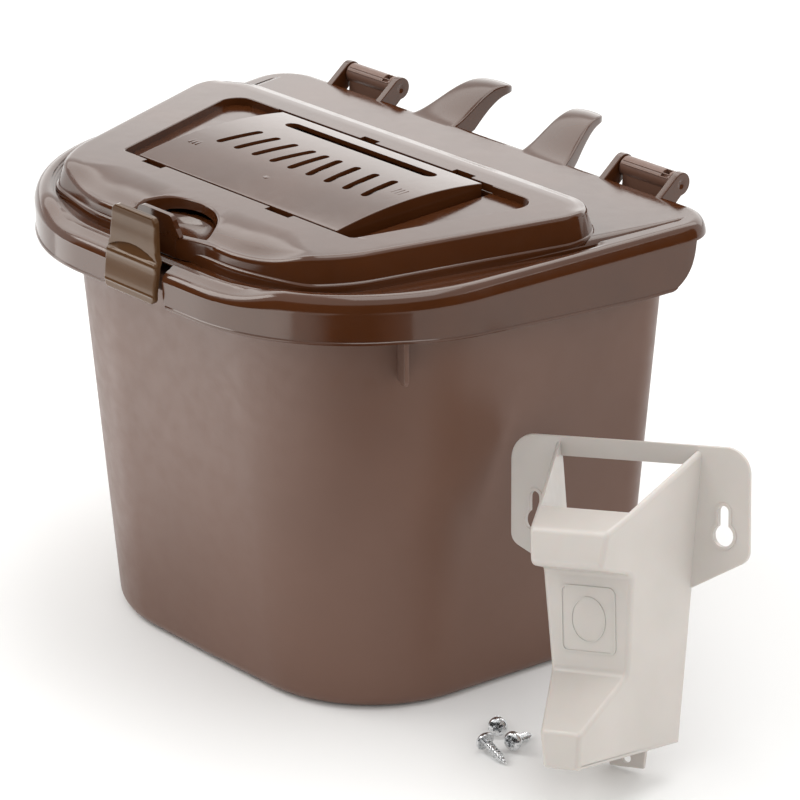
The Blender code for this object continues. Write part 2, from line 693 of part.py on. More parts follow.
def build_insert(parts, cutters, surface):
    """Arched plate with end walls, slots to vent through and a long slot to lift it out by."""
    bottom = RECESS_FLOOR + GAP
    cut_low = INSERT_EDGE - 4 * MM
    cut_high = INSERT_EDGE + 9 * MM
    insert = arch_block("vent_insert", INSERT_HALF, INSERT_FRONT, INSERT_BACK, bottom, 0.0, parts)
    hollow = arch_block("insert_hollow", INSERT_HALF - 2 * MM, INSERT_FRONT + 1.8 * MM,
                        INSERT_BACK - 1.8 * MM, bottom - 5 * MM, 2.0 * MM, cutters)
    boolean(insert, hollow, "DIFFERENCE")
    for i in range(SLOT_COUNT):
        slot = vent_slot("vent_slot", i, cut_low, cut_high, SLOT_WIDTH, cutters)
        boolean(insert, slot, "DIFFERENCE")
    length, width, y = FINGER_SLOT
    ends = [Vector((s * (length - width) / 2, y)) for s in (-1, 1)]
    finger = slab("finger_slot", slot_plan(ends[0], ends[1], width), cut_low, cut_high, cutters)
    boolean(insert, finger, "DIFFERENCE")
    finish(insert, surface)
    return insert


# ---------------------------------------------------------------- wall bracket

def bracket_half(out, z):
    return BRACKET_HALF + BRACKET_WIDEN_UP * z - BRACKET_NARROW_OUT * out


def tapered_prism(name, side_profile, less, where):
    """Solid with a side profile of (distance from the wall, height) and the bracket's tapering width."""
    bm = bmesh.new()
    left = []
    right = []
    for out, z in side_profile:
        half = bracket_half(out, z) - less
        left.append(bm.verts.new((-half, -out, z)))
        right.append(bm.verts.new((half, -out, z)))
    bm.faces.new(left)
    bm.faces.new(right[::-1])
    for i in range(len(left)):
        j = (i + 1) % len(left)
        bm.faces.new((left[i], left[j], right[j], right[i]))
    return mesh_object(name, bm, where)


def bracket_flange(where):
    """Flat plate against the wall: two rounded ears, the bar between them and the lower lug."""
    low = Vector((FLANGE_HALF, FLANGE_LOW))
    high = Vector((FLANGE_HALF, FLANGE_TOP))
    rounded = corner(Vector(FLANGE_ROOT), low, high, 6 * MM, 3)
    rounded += corner(low, high, Vector((0.0, FLANGE_TOP)), 11 * MM, 6)
    right = list(LUG_OUTLINE) + [FLANGE_NECK] + [(p.x, p.y) for p in rounded]
    ring = [(x, 0.0, z) for x, z in right] + [(-x, 0.0, z) for x, z in reversed(right)]
    return prism("wall_bracket", ring, (0, -SKIN, 0), where)


def keyhole(side, where):
    """Round hole for a screw's head, with a slot above it for the shank."""
    points = []
    width, reach = KEYHOLE_SLOT
    meet = math.asin(width / 2 / KEYHOLE_RADIUS)
    for i in range(17):
        angle = math.pi / 2 + meet + (2 * math.pi - 2 * meet) * i / 16
        points.append((KEYHOLE_RADIUS * math.cos(angle), KEYHOLE_RADIUS * math.sin(angle)))
    for i in range(7):
        angle = math.pi * i / 6
        points.append((width / 2 * math.cos(angle), reach + width / 2 * math.sin(angle)))
    ring = [(side * KEYHOLE_X + x, 5 * MM, KEYHOLE_Z + z) for x, z in points]
    return prism(f"keyhole_{side}", ring, (0, -12 * MM, 0), where)


def lug_hole(where):
    bm = bmesh.new()
    bmesh.ops.create_cone(bm, cap_ends=True, segments=16, radius1=LUG_HOLE_RADIUS,
                          radius2=LUG_HOLE_RADIUS, depth=12 * MM)
    bmesh.ops.rotate(bm, matrix=Matrix.Rotation(math.pi / 2, 3, "X"), verts=bm.verts)
    bmesh.ops.translate(bm, vec=(0, 0, LUG_HOLE_Z), verts=bm.verts)
    return mesh_object("lug_hole", bm, where)


def bracket_matrix():
    turn = Matrix.Rotation(BRACKET_TURN, 4, "Z")
    lean = Matrix.Rotation(-BRACKET_LEAN, 4, Vector(LEAN_AXIS))
    return Matrix.Translation(BRACKET_AT) @ lean @ turn


def build_bracket(parts, cutters, surface):
    bracket = bracket_flange(parts)
    skin_side = [(out * MM, z * MM) for out, z in BRACKET_SIDE]
    hollow_side = [(out * MM, z * MM) for out, z in BRACKET_HOLLOW]
    outer = tapered_prism("bracket_skin", skin_side, 0.0, cutters)
    inner = tapered_prism("bracket_inside", hollow_side, SKIN, cutters)
    boolean(bracket, outer, "UNION")
    boolean(bracket, inner, "DIFFERENCE")
    tools = [outer, inner]
    for side in (-1, 1):
        tools.append(keyhole(side, cutters))
        boolean(bracket, tools[-1], "DIFFERENCE")
    tools.append(lug_hole(cutters))
    boolean(bracket, tools[-1], "DIFFERENCE")
    finish(bracket, surface)
    stand = bpy.data.objects.new("bracket_stand", None)
    parts.objects.link(stand)
    stand.matrix_world = bracket_matrix()
    for obj in [bracket] + tools:
        obj.parent = stand
    return bracket


# ---------------------------------------------------------------- screws

def screw_profile():
    """Half section of a pan-head screw, from the top of its head down to its point."""
    points = []
    for i in range(5):
        angle = math.pi / 2 * (1 - i / 4)
        points.append((SCREW_HEAD_RADIUS * math.cos(angle), SCREW_HEAD_HIGH * math.sin(angle)))
    points.append((SCREW_HEAD_RADIUS * 0.96, -0.4 * MM))
    points.append((SCREW_ROOT, -0.4 * MM))
    depth = 0.9 * MM
    while depth < SCREW_LENGTH - 1.2 * MM:
        taper = min(1.0, (SCREW_LENGTH - depth) / (5.0 * MM))
        points.append((SCREW_ROOT * taper, -depth))
        points.append((SCREW_CREST * taper, -depth - 0.35 * SCREW_PITCH))
        points.append((SCREW_ROOT * taper, -depth - 0.7 * SCREW_PITCH))
        depth += SCREW_PITCH
    points.append((0.0, -SCREW_LENGTH))
    points[0] = (0.0, SCREW_HEAD_HIGH)
    return points


def build_screw(name, place, direction, parts, surface):
    """Lies on the floor on the rim of its head and its point."""
    bm = bmesh.new()
    verts = [bm.verts.new((r, 0.0, z)) for r, z in screw_profile()]
    for a, b in zip(verts, verts[1:]):
        bm.edges.new((a, b))
    mesh = bpy.data.meshes.new(name)
    bm.to_mesh(mesh)
    bm.free()
    screw = bpy.data.objects.new(name, mesh)
    parts.objects.link(screw)
    turned = screw.modifiers.new("turn", "SCREW")
    turned.steps = 14
    turned.render_steps = 14
    turned.use_merge_vertices = True
    turned.merge_threshold = 0.00001
    turned.use_normal_calculate = True
    tilt = math.atan2(SCREW_HEAD_RADIUS * 0.98, SCREW_LENGTH)
    lie = Matrix.Rotation(direction, 4, "Z") @ Matrix.Rotation(-math.pi / 2 + tilt, 4, "Y")
    height = SCREW_HEAD_RADIUS * math.cos(tilt) + SCREW_LIFT
    screw.matrix_world = Matrix.Translation((place[0], place[1], height)) @ lie
    screw.data.materials.append(surface)
    return screw


# ---------------------------------------------------------------- assembly

def main():
    clear_scene()
    parts = collection("food_scrap_caddy")
    cutters = collection("cutters")
    satin_brown = material("satin brown plastic", (0.144, 0.080, 0.061), 0.42)
    gloss_brown = material("gloss brown plastic", (0.080, 0.032, 0.017), 0.14)
    ivory = material("ivory plastic", (0.72, 0.66, 0.61), 0.36)
    zinc = material("bright zinc", (0.62, 0.63, 0.65), 0.22, 1.0)

    build_bucket(parts, cutters, satin_brown)
    build_lid(parts, cutters, gloss_brown)
    for side in (-1, 1):
        build_pin(side, parts, gloss_brown)
    build_latch(parts, cutters, gloss_brown)
    build_insert(parts, cutters, gloss_brown)
    build_bracket(parts, cutters, ivory)
    for name, place, direction in SCREWS:
        build_screw(name, place, direction, parts, zinc)


main()
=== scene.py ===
"""Looks of the food-scrap caddy: detailed moulded pieces, plastics and zinc, floor, light and camera.

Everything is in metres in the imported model's frame: +Z up, latch towards -Y, hinges towards +Y,
wall bracket on the +X side.
"""

import math

import bmesh
import bpy
from mathutils import Matrix, Vector


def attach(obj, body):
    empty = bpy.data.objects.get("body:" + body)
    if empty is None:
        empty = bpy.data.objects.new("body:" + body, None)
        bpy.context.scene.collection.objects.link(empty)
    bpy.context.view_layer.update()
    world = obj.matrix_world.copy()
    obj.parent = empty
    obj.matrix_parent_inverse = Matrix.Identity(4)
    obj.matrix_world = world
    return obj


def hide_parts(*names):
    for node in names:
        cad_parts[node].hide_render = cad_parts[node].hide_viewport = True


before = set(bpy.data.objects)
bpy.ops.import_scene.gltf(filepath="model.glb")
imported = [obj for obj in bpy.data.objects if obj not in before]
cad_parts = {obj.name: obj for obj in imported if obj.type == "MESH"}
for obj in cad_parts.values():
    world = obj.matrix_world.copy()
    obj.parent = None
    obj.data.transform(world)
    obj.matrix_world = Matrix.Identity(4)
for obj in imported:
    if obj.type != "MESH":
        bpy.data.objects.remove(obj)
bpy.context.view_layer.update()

MM = 0.001

# ---------------------------------------------------------------- driving sizes, as in the CAD part
SKIRT_BOTTOM = 182.6 * MM
SKIRT_DROP = 6.8 * MM
SKIRT_SLOPE = (-70.0 * MM, 50.0 * MM)
LID_TOP = 203.0 * MM
DOME_TOP = 214.7 * MM
BUCKET_TOP = 197.2 * MM
RIM_UNDERSIDE = 190.0 * MM
SKIN = 2.2 * MM

# front Y, back Y, half width at the front and back, corner radii, bow of the front
RIDGE = (-112.6 * MM, 95.6 * MM, 117.9 * MM, 142.6 * MM, 89.7 * MM, 20.0 * MM, 2.3 * MM)
DOME = (-103.5 * MM, 45.6 * MM, 79.0 * MM, 124.6 * MM, 56.0 * MM, 20.0 * MM, 0.0)
DOME_LEFT_GROWTH = 0.045
WALL_TOP = (-94.4 * MM, 86.0 * MM, 105.2 * MM, 126.3 * MM, 76.0 * MM, 17.0 * MM, 2.3 * MM)
WALL_BASE = (-77.4 * MM, 77.4 * MM, 93.9 * MM, 115.0 * MM, 60.0 * MM, 15.0 * MM, 2.3 * MM)
BUCKET_RIM_INSET = 5.0 * MM
BUCKET_RIM_BACK = 88.5 * MM

REAR_SKIRT_BOTTOM = 196.05 * MM
REAR_SKIRT_START = 61.0 * MM
REAR_SKIRT_ROUND = 17.0 * MM

# where a surface starts to fall towards the front, and over which length it falls
RIM_FALL = (-103.0 * MM, 11.0 * MM)
CHANNEL_FALL = (-92.0 * MM, 8.0 * MM)
DOME_FALL = (-84.0 * MM, 20.0 * MM)
BUCKET_FALL = (-90.0 * MM, 12.0 * MM)
BUCKET_RIM_DROP = 3.4 * MM

CHANNEL_FLOOR = 200.2 * MM
CHANNEL_END = 30.0 * MM
CHANNEL_RAMP = 3.0 * MM
CHANNEL_INSET = 9.5 * MM
DOME_FLARE = 4.0 * MM

AXIS_Y = 103.1 * MM
AXIS_Z = 206.4 * MM
CHEEK_INNER = 70.2 * MM
CHEEK_OUTER = 107.5 * MM
CHEEK_THICK = 3.5 * MM
CHEEK_RADIUS = 5.2 * MM
CHEEK_ROOT = ((98.0, 197.0), (90.5, 197.5), (89.0, 202.4))
BARREL_RADIUS = 4.6 * MM
ARM_PROFILE = (
    (84.6, 168.0), (100.5, 186.0), (101.6, 190.0), (103.4, 205.4), (99.4, 205.4), (98.2, 191.5),
    (95.5, 188.4), (85.6, 188.4),
)

HORN_BASE_X = 36.2 * MM
HORN_TIP_X = 28.5 * MM
HORN_BASE_HALF = 15.0 * MM
HORN_TIP_HALF = 6.5 * MM
HORN_START = 86.0 * MM
HORN_CREST = 121.0 * MM
HORN_BACK = 132.0 * MM
HORN_RISE = 12.2 * MM
HORN_DROOP = 3.6 * MM
HORN_THICK = (8.5 * MM, 12.0 * MM, 2.2 * MM)

RECESS_FLOOR = 207.8 * MM
RECESS_LEDGE = 211.2 * MM
RECESS_LEDGE_START = 68.5 * MM
RECESS_FRONT = -59.3 * MM
RECESS_BACK = 26.3 * MM
INSERT_HALF = 64.2 * MM
INSERT_FRONT = -58.7 * MM
INSERT_BACK = 24.8 * MM
INSERT_EDGE = 214.9 * MM
INSERT_CROWN = 3.4 * MM
SLOT_COUNT = 9
SLOT_PITCH = 11.67 * MM
SLOT_WIDTH = 3.5 * MM
SLOT_FRONT = -28.6 * MM
SLOT_BACK = -5.7 * MM
SLOT_LEAN = 3.1 * MM
FINGER_SLOT = (94.0 * MM, 7.0 * MM, 12.9 * MM)
CLIP_NOTCHES = ((-51.0, -61.0, 13.0), (31.0, -61.0, 15.0), (-10.0, 27.6, 10.0), (49.5, 27.6, 12.0))

LATCH_TOP = 220.4 * MM
LATCH_SECTIONS = (                  # (distance below the top, half width, Y of the front face)
    (0.0, 14.3, -114.2), (4.0, 14.4, -114.6), (14.0, 15.1, -115.2), (18.6, 16.4, -115.4),
    (21.0, 16.7, -116.6), (33.4, 16.4, -118.0), (36.8, 16.0, -118.0),
)
LATCH_THICK = 2.4 * MM
# in mm: rounding of the latch's top, foot and rim, and its ridge and lip below the top
LATCH_TOP_ROUND = 3.6
LATCH_FOOT_ROUND = 2.6
LATCH_RIM_ROUND = 0.9
LATCH_RIDGE_AT = 19.4
LATCH_RIDGE_PROUD = 0.75
LATCH_LIP_AT = 33.2
LATCH_GAP_HALF = (17.6 * MM, 18.4 * MM)
THUMB_Y = -101.4 * MM
THUMB_HALF = 12.0 * MM
THUMB_TOP = 218.0 * MM
THUMB_ROUND = 4.0 * MM
THUMB_FLANK = ((12.4, 200.4), (12.4, 208.6), (15.6, 209.4), (14.7, 210.9), (13.6, 212.3), (12.7, 213.8),
               (12.2, 215.2))
APRON = ((36.0, -96.6), (31.0, -97.9), (26.5, -98.5), (22.5, -99.3), (18.5, -100.4), (15.0, -101.7),
         (11.0, -102.5))
POCKET_CENTRE_Y = -96.0 * MM
POCKET_RADII = (24.0 * MM, 18.0 * MM)
POCKET_FLOOR = 203.4 * MM

BRACKET_HALF = 23.7 * MM
BRACKET_WIDEN_UP = 0.0865
BRACKET_NARROW_OUT = 0.26
BRACKET_SIDE = (
    (0.0, 127.0), (40.0, 104.0), (54.0, 97.0), (56.5, 82.0), (37.5, 78.0),
    (35.5, 36.5), (60.5, 15.0), (60.0, 0.0), (0.0, 3.0),
)
BRACKET_HOLLOW = (
    (-5.0, 119.7), (2.1, 119.7), (2.1, 140.0), (40.0, 140.0), (40.0, 101.5), (52.2, 95.3),
    (54.2, 84.2), (35.5, 80.2), (33.2, 35.6), (58.4, 13.6), (57.9, 2.4), (-5.0, 5.2),
)
FLANGE_TOP = 128.0 * MM
FLANGE_HALF = 55.6 * MM
FLANGE_LOW = 82.0 * MM
FLANGE_ROOT = (20.0 * MM, 64.0 * MM)
FLANGE_NECK = (26.0 * MM, 67.0 * MM)
LUG_OUTLINE = ((8.0 * MM, -9.4 * MM), (9.6 * MM, 3.0 * MM), (20.0 * MM, 3.2 * MM))
KEYHOLE_X = 44.0 * MM
KEYHOLE_Z = 91.5 * MM
KEYHOLE_RADIUS = 4.6 * MM
KEYHOLE_SLOT = (4.8 * MM, 10.0 * MM)
LUG_HOLE_Z = -5.6 * MM
LUG_HOLE_RADIUS = 2.1 * MM
BRACKET_AT = (194.3 * MM, -14.0 * MM, 10.3 * MM)
BRACKET_TURN = math.radians(16.0)
BRACKET_LEAN = math.radians(17.0)
LEAN_AXIS = (math.cos(math.radians(47.0)), math.sin(math.radians(47.0)), 0.0)

SCREW_LENGTH = 16.0 * MM
SCREW_HEAD_RADIUS = 4.2 * MM
SCREW_HEAD_HIGH = 2.6 * MM
SCREW_CREST = 2.1 * MM
SCREW_ROOT = 1.45 * MM
SCREW_PITCH = 1.7 * MM
SCREW_LIFT = 0.85 * MM
SCREW_NECK = 0.4 * MM
SCREW_TAPER = 5.0 * MM
SCREWS = (
    ("screw_1", (138.8 * MM, -36.2 * MM), math.radians(135.0)),
    ("screw_2", (144.6 * MM, -49.2 * MM), math.radians(-9.0)),
    ("screw_3", (152.4 * MM, -40.4 * MM), math.radians(104.0)),
)

CORNER_FRONT_STEPS = 36
CORNER_BACK_STEPS = 14
FRONT_STEPS = 16
SIDE_STEPS = 56
BACK_STEPS = 20


# ---------------------------------------------------------------- shape helpers

def clamped(t):
    return min(1.0, max(0.0, t))


def ease(t):
    t = clamped(t)
    return t * t * (3 - 2 * t)


def forward_share(y, start, reach):
    """0 behind the start, and 1 once the reach in front of it is passed."""
    return ease((start - y) / reach)


def arc(steps, turn=math.pi / 2):
    """Cosines and sines of the angles from 0 to the turn, in equal steps."""
    return [(math.cos(turn * i / steps), math.sin(turn * i / steps)) for i in range(steps + 1)]


def circle(count, radius=1.0):
    return [(radius * c, radius * s) for c, s in arc(count, 2 * math.pi)[:-1]]


def mirrored(right):
    """The right half of an outline, followed by its mirror image."""
    return right + [(-x, v) for x, v in reversed(right)]


# ---------------------------------------------------------------- mesh helpers

def link(obj):
    bpy.context.scene.collection.objects.link(obj)
    return obj


def mesh_object(name, bm):
    bmesh.ops.recalc_face_normals(bm, faces=bm.faces)
    mesh = bpy.data.meshes.new(name)
    bm.to_mesh(mesh)
    bm.free()
    return link(bpy.data.objects.new(name, mesh))


def bevelled(bm, width, segments=3, angle=30.0):
    """Rounds every edge that turns by more than the angle."""
    bmesh.ops.recalc_face_normals(bm, faces=bm.faces)
    edges = [e for e in bm.edges if len(e.link_faces) == 2
             and e.calc_face_angle(0.0) > math.radians(angle)]
    bmesh.ops.bevel(bm, geom=edges, offset=width, segments=segments, profile=0.5,
                    affect="EDGES", clamp_overlap=True)
    return bm


def bridge(bm, a, b):
    """Faces between two closed rows with the same number of points."""
    made = []
    for i in range(len(a)):
        j = (i + 1) % len(a)
        made.append(bm.faces.new((a[i], a[j], b[j], b[i])))
    return made


def prism_mesh(points, offset):
    bm = bmesh.new()
    near = [bm.verts.new(p) for p in points]
    far = [bm.verts.new(Vector(p) + Vector(offset)) for p in points]
    bm.faces.new(near)
    bm.faces.new(far[::-1])
    bridge(bm, near, far)
    return bm


def prism(name, points, offset, width=0.0, segments=2):
    bm = prism_mesh(points, offset)
    if width:
        bevelled(bm, width, segments)
    return mesh_object(name, bm)


def box(name, low, high, width=0.0):
    corners = [(low[0], low[1], low[2]), (high[0], low[1], low[2]),
               (high[0], high[1], low[2]), (low[0], high[1], low[2])]
    return prism(name, corners, (0, 0, high[2] - low[2]), width)


def loft(name, rings, bands=None):
    """Solid through rings with the same number of points. bands gives a material index per band."""
    bm = bmesh.new()
    rows = [[bm.verts.new(p) for p in ring] for ring in rings]
    for k, (upper, lower) in enumerate(zip(rows, rows[1:])):
        for face in bridge(bm, upper, lower):
            if bands:
                face.material_index = bands(k, face.calc_center_median())
    bm.faces.new(rows[0])
    bm.faces.new(rows[-1][::-1])
    return mesh_object(name, bm)


def rod_along_x(name, low_x, high_x, y, z, radius, segments=48, width=0.0):
    ring = [(low_x, y + a, z + b) for a, b in circle(segments, radius)]
    return prism(name, ring, (high_x - low_x, 0, 0), width, 3)


def combine(target, tools, operation):
    """Applies one Boolean after another and deletes the tools."""
    for tool in tools:
        modifier = target.modifiers.new(tool.name, "BOOLEAN")
        modifier.operation = operation
        modifier.object = tool
        modifier.solver = "EXACT"
        graph = bpy.context.evaluated_depsgraph_get()
        made = bpy.data.meshes.new_from_object(target.evaluated_get(graph))
        target.modifiers.clear()
        target.data = made
        bpy.data.objects.remove(tool)
    return target


def join(target, others):
    """Adds the meshes of other objects to the target's mesh."""
    bm = bmesh.new()
    bm.from_mesh(target.data)
    for other in others:
        other.data.transform(other.matrix_world)
        bm.from_mesh(other.data)
        bpy.data.objects.remove(other)
    bm.to_mesh(target.data)
    bm.free()
    return target


def smooth(obj, surfaces, angle=32.0):
    obj.data.materials.clear()
    for surface in surfaces:
        obj.data.materials.append(surface)
    obj.data.shade_smooth()
    obj.data.set_sharp_from_angle(angle=math.radians(angle))
    weighted = obj.modifiers.new("flat faces stay flat", "WEIGHTED_NORMAL")
    weighted.keep_sharp = True
    weighted.weight = 60
    return obj


def place(obj, body, slot, *nodes):
    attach(obj, body)
    if nodes:
        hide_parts(*nodes)
    return obj


# ---------------------------------------------------------------- plan outlines

def corner(before, at, after, radius, steps):
    to_before = (before - at).normalized()
    to_after = (after - at).normalized()
    half = to_before.angle(to_after) / 2
    centre = at + (to_before + to_after).normalized() * (radius / math.sin(half))
    start = at + to_before * (radius / math.tan(half)) - centre
    turn = math.copysign(math.pi - 2 * half, to_after.cross(to_before))
    return [centre + Matrix.Rotation(turn * i / steps, 2) @ start for i in range(steps + 1)]


def rounded(marks, radii, steps):
    """Closed outline through the marks, with each corner rounded by its own radius."""
    points = []
    for i, radius in enumerate(radii):
        points += corner(marks[i - 1], marks[i], marks[(i + 1) % len(marks)], radius, steps)
    return points


def between(a, b, steps):
    return [a.lerp(b, i / steps) for i in range(1, steps)]


def outline(front, back, half_front, half_back, round_front, round_back, bow):
    """Plan outline, anticlockwise from the front left corner, with the front bowed outwards."""
    marks = [Vector((-half_front, front)), Vector((half_front, front)),
             Vector((half_back, back)), Vector((-half_back, back))]
    radii = (round_front, round_front, round_back, round_back)
    arc_steps = (CORNER_FRONT_STEPS, CORNER_FRONT_STEPS, CORNER_BACK_STEPS, CORNER_BACK_STEPS)
    arcs = []
    for i in range(4):
        arcs.append(corner(marks[i - 1], marks[i], marks[(i + 1) % 4], radii[i], arc_steps[i]))
    points = []
    for i, steps in enumerate((FRONT_STEPS, SIDE_STEPS, BACK_STEPS, SIDE_STEPS)):
        following = arcs[(i + 1) % 4]
        points += arcs[i]
        points += between(arcs[i][-1], following[0], steps)
    for point in points:
        forward = clamped(point.y / front)
        across = max(0.0, 1.0 - (point.x / half_front) ** 2)
        point.y -= bow * forward * forward * across
    return points


def inset(plan, distance, back=None):
    front, rear, half_front, half_back, round_front, round_back, bow = plan
    if back is None:
        back = rear - distance
    return outline(front + distance, back, half_front - distance, half_back - distance,
                   max(round_front - distance, 2 * MM), max(round_back - distance, 2 * MM), bow)


def at_height(points, z):
    return [(p.x, p.y, z) for p in points]


def slab_rings(shape, floor, top, lip):
    """Cutter rings that leave a rounded lip of the given radius at the top surface."""
    rings = [at_height(shape(0.0), floor)]
    for c, s in arc(5):
        rings.append(at_height(shape(lip * (1 - c)), top - lip + lip * s))
    rings.append(at_height(shape(lip), top + 12 * MM))
    return rings


# ---------------------------------------------------------------- bucket

def blend_plans(low, high, t):
    return tuple(a + (b - a) * t for a, b in zip(low, high))


def wall_ring(z, distance):
    plan = blend_plans(WALL_BASE, WALL_TOP, z / RIM_UNDERSIDE)
    return at_height(inset(plan, distance), z)


def bucket_rings():
    foot = 6.0 * MM
    edge = 0.8 * MM
    rings = [wall_ring(edge, 9.0 * MM), wall_ring(0.0, 8.4 * MM)]
    for c, s in arc(7):
        rings.append(wall_ring(foot * (1 - c), foot * (1 - s)))
    rings += [wall_ring(z * MM, 0.0) for z in range(20, 181, 20)]
    rings += [wall_ring(187.0 * MM, 0.0), wall_ring(189.0 * MM, -0.6 * MM)]
    rim = inset(RIDGE, BUCKET_RIM_INSET, back=BUCKET_RIM_BACK)
    rim_edge = inset(RIDGE, BUCKET_RIM_INSET + edge, back=BUCKET_RIM_BACK - edge)
    top_plan = blend_plans(WALL_BASE, WALL_TOP, BUCKET_TOP / RIM_UNDERSIDE)
    for points, z in ((rim_edge, RIM_UNDERSIDE), (rim, RIM_UNDERSIDE + edge), (rim, BUCKET_TOP - edge),
                      (rim_edge, BUCKET_TOP), (inset(top_plan, SKIN - edge), BUCKET_TOP),
                      (inset(top_plan, SKIN), BUCKET_TOP - edge)):
        rings.append(at_height(points, z))
    share = [forward_share(p.y, *BUCKET_FALL) for p in inset(RIDGE, 8.0 * MM)]
    for k in range(-5, 0):
        rings[k] = [(x, y, z - BUCKET_RIM_DROP * f) for (x, y, z), f in zip(rings[k], share)]
    rings += [wall_ring(z * MM, SKIN) for z in range(180, 19, -20)]
    for c, s in arc(5):
        rings.append(wall_ring(SKIN + foot * (1 - s), SKIN + foot * (1 - c)))
    return rings


def rim_gusset(side):
    """Upright rib under the rim near a front corner, with a slanted lower end."""
    low, high = -12.0 * MM, 16.5 * MM
    reach = 6.0 * MM
    profile = [(-side * reach, 0, low), (side * 2.6 * MM, 0, low), (side * 4.6 * MM, 0, low + 0.8 * MM),
               (side * reach, 0, low + 3.2 * MM), (side * reach, 0, high), (-side * reach, 0, high)]
    bm = prism_mesh([(x, -1.0 * MM, z) for x, y, z in profile], (0, 2.0 * MM, 0))
    bevelled(bm, 0.45 * MM, 2)
    turn = Matrix.Rotation(side * math.radians(-28.0), 3, "Z")
    bmesh.ops.rotate(bm, matrix=turn, verts=bm.verts)
    bmesh.ops.translate(bm, vec=(side * 106.6 * MM, -61.0 * MM, 172.0 * MM), verts=bm.verts)
    return mesh_object(f"gusset_{side}", bm)


def hinge_barrel(side):
    """Barrel with a parting bead along it and a short notch near its outer end."""
    inner = CHEEK_INNER + CHEEK_THICK + 0.5 * MM
    outer = CHEEK_OUTER - CHEEK_THICK - 0.5 * MM
    low, high = sorted((side * inner, side * outer))
    barrel = rod_along_x(f"barrel_{side}", low, high, AXIS_Y, AXIS_Z, BARREL_RADIUS, 56, 0.4 * MM)
    beads = []
    for k, turn in enumerate((35.0, 128.0, 150.0)):
        angle = math.radians(turn)
        y = AXIS_Y + BARREL_RADIUS * math.cos(angle)
        z = AXIS_Z + BARREL_RADIUS * math.sin(angle)
        beads.append(rod_along_x(f"bead_{side}_{k}", low + MM, high - MM, y, z, 0.32 * MM, 12, 0.1 * MM))
    notch = box(f"barrel_notch_{side}", (high - 5.2 * MM, AXIS_Y - 6 * MM, AXIS_Z + 2.2 * MM),
                (high - 1.4 * MM, AXIS_Y + 0.5 * MM, AXIS_Z + 6 * MM))
    combine(barrel, [notch], "DIFFERENCE")
    return join(barrel, beads)


def hinge_arm(side):
    inner = CHEEK_INNER + CHEEK_THICK + 2.0 * MM
    length = CHEEK_OUTER - CHEEK_THICK - 2.0 * MM - inner
    start = inner if side > 0 else -inner - length
    points = [(start, y * MM, z * MM) for y, z in ARM_PROFILE]
    return prism(f"arm_{side}", points, (length, 0, 0), 0.5 * MM)


def build_bucket(surface):
    bucket = loft("bucket_shell", bucket_rings())
    parts = []
    for side in (-1, 1):
        combine(bucket, [rim_gusset(side)], "UNION")
        parts += [hinge_arm(side), hinge_barrel(side)]
    join(bucket, parts)
    smooth(bucket, [surface])
    return place(bucket, "bucket", "satin_brown", "bucket")


# ---------------------------------------------------------------- lid

def rim_front(y):
    """0 round the sides and 1 at the middle of the front, where the rim lies lower."""
    return forward_share(y, *RIM_FALL)


def lowered(ring, amount):
    return [(x, y, z - amount * rim_front(y)) for x, y, z in ring]


def plate_share(y):
    """0 beside the dome, where the rim has its channel, and 1 on the rear plate."""
    return ease((y - CHANNEL_END) / CHANNEL_RAMP)


def rim_ring(points, z, drop=0.0):
    """A ring of the rim: at its own height beside the channel, and no lower than the rear plate behind.

    The rim's front lies lower by the given drop in mm.
    """
    raised = max(z, LID_TOP)
    front = [forward_share(p.y, *CHANNEL_FALL) for p in points]
    return [(p.x, p.y, z + (raised - z) * plate_share(p.y) - drop * MM * f) for p, f in zip(points, front)]


def skirt_ring(points, above=0.0):
    start, end = SKIRT_SLOPE
    ring = []
    for p in points:
        slope = clamped((p.y - start) / (end - start))
        ring.append((p.x, p.y, SKIRT_BOTTOM - SKIRT_DROP * slope + above))
    return ring


def dome_outline(distance):
    points = inset(DOME, distance)
    for p in points:
        if p.x < 0:
            p.x *= 1.0 + DOME_LEFT_GROWTH
    return points


def dome_ring(distance, z, pull=0.0, drop=0.0, rear_drop=0.0):
    """Ring round the dome, drawn back and down by the given mm at its front, and down at its rear."""
    ring = []
    for p, edge in zip(dome_outline(distance), dome_outline(0.0)):
        front = forward_share(edge.y, *DOME_FALL)
        rear = ease((edge.y - 30.0 * MM) / (12.0 * MM))
        ring.append(Vector((p.x, p.y + pull * MM * front, z - drop * MM * front - rear_drop * MM * rear)))
    return ring


DOME_CREST = (                      # distance inside the edge, then dome_ring's pull and drops
    (11.5, 19.5, 0.0, 0.0), (7.0, 15.0, 0.0, 0.25), (6.0, 9.0, 1.6, 0.4), (5.0, 7.0, 3.0, 0.6),
    (4.0, 6.3, 4.2, 0.85),
)
DOME_FOOT = ((2.9, 204.6), (3.1, 203.9), (3.6, 203.65), (4.0, 203.3), (4.2, 202.7), (4.3, 202.1),
             (4.36, 200.7))


def dome_surface(y):
    """Height of the dome's top at the middle of its front."""
    marks = ((-81.5, 214.7), (-88.5, 213.1), (-91.5, 211.7), (-93.2, 210.5), (-95.7, 209.5))
    for (near, high), (far, low) in zip(marks, marks[1:]):
        if y > near * MM:
            return high * MM
        if y > far * MM:
            return (low + (high - low) * (y / MM - far) / (near - far)) * MM
    return marks[-1][1] * MM


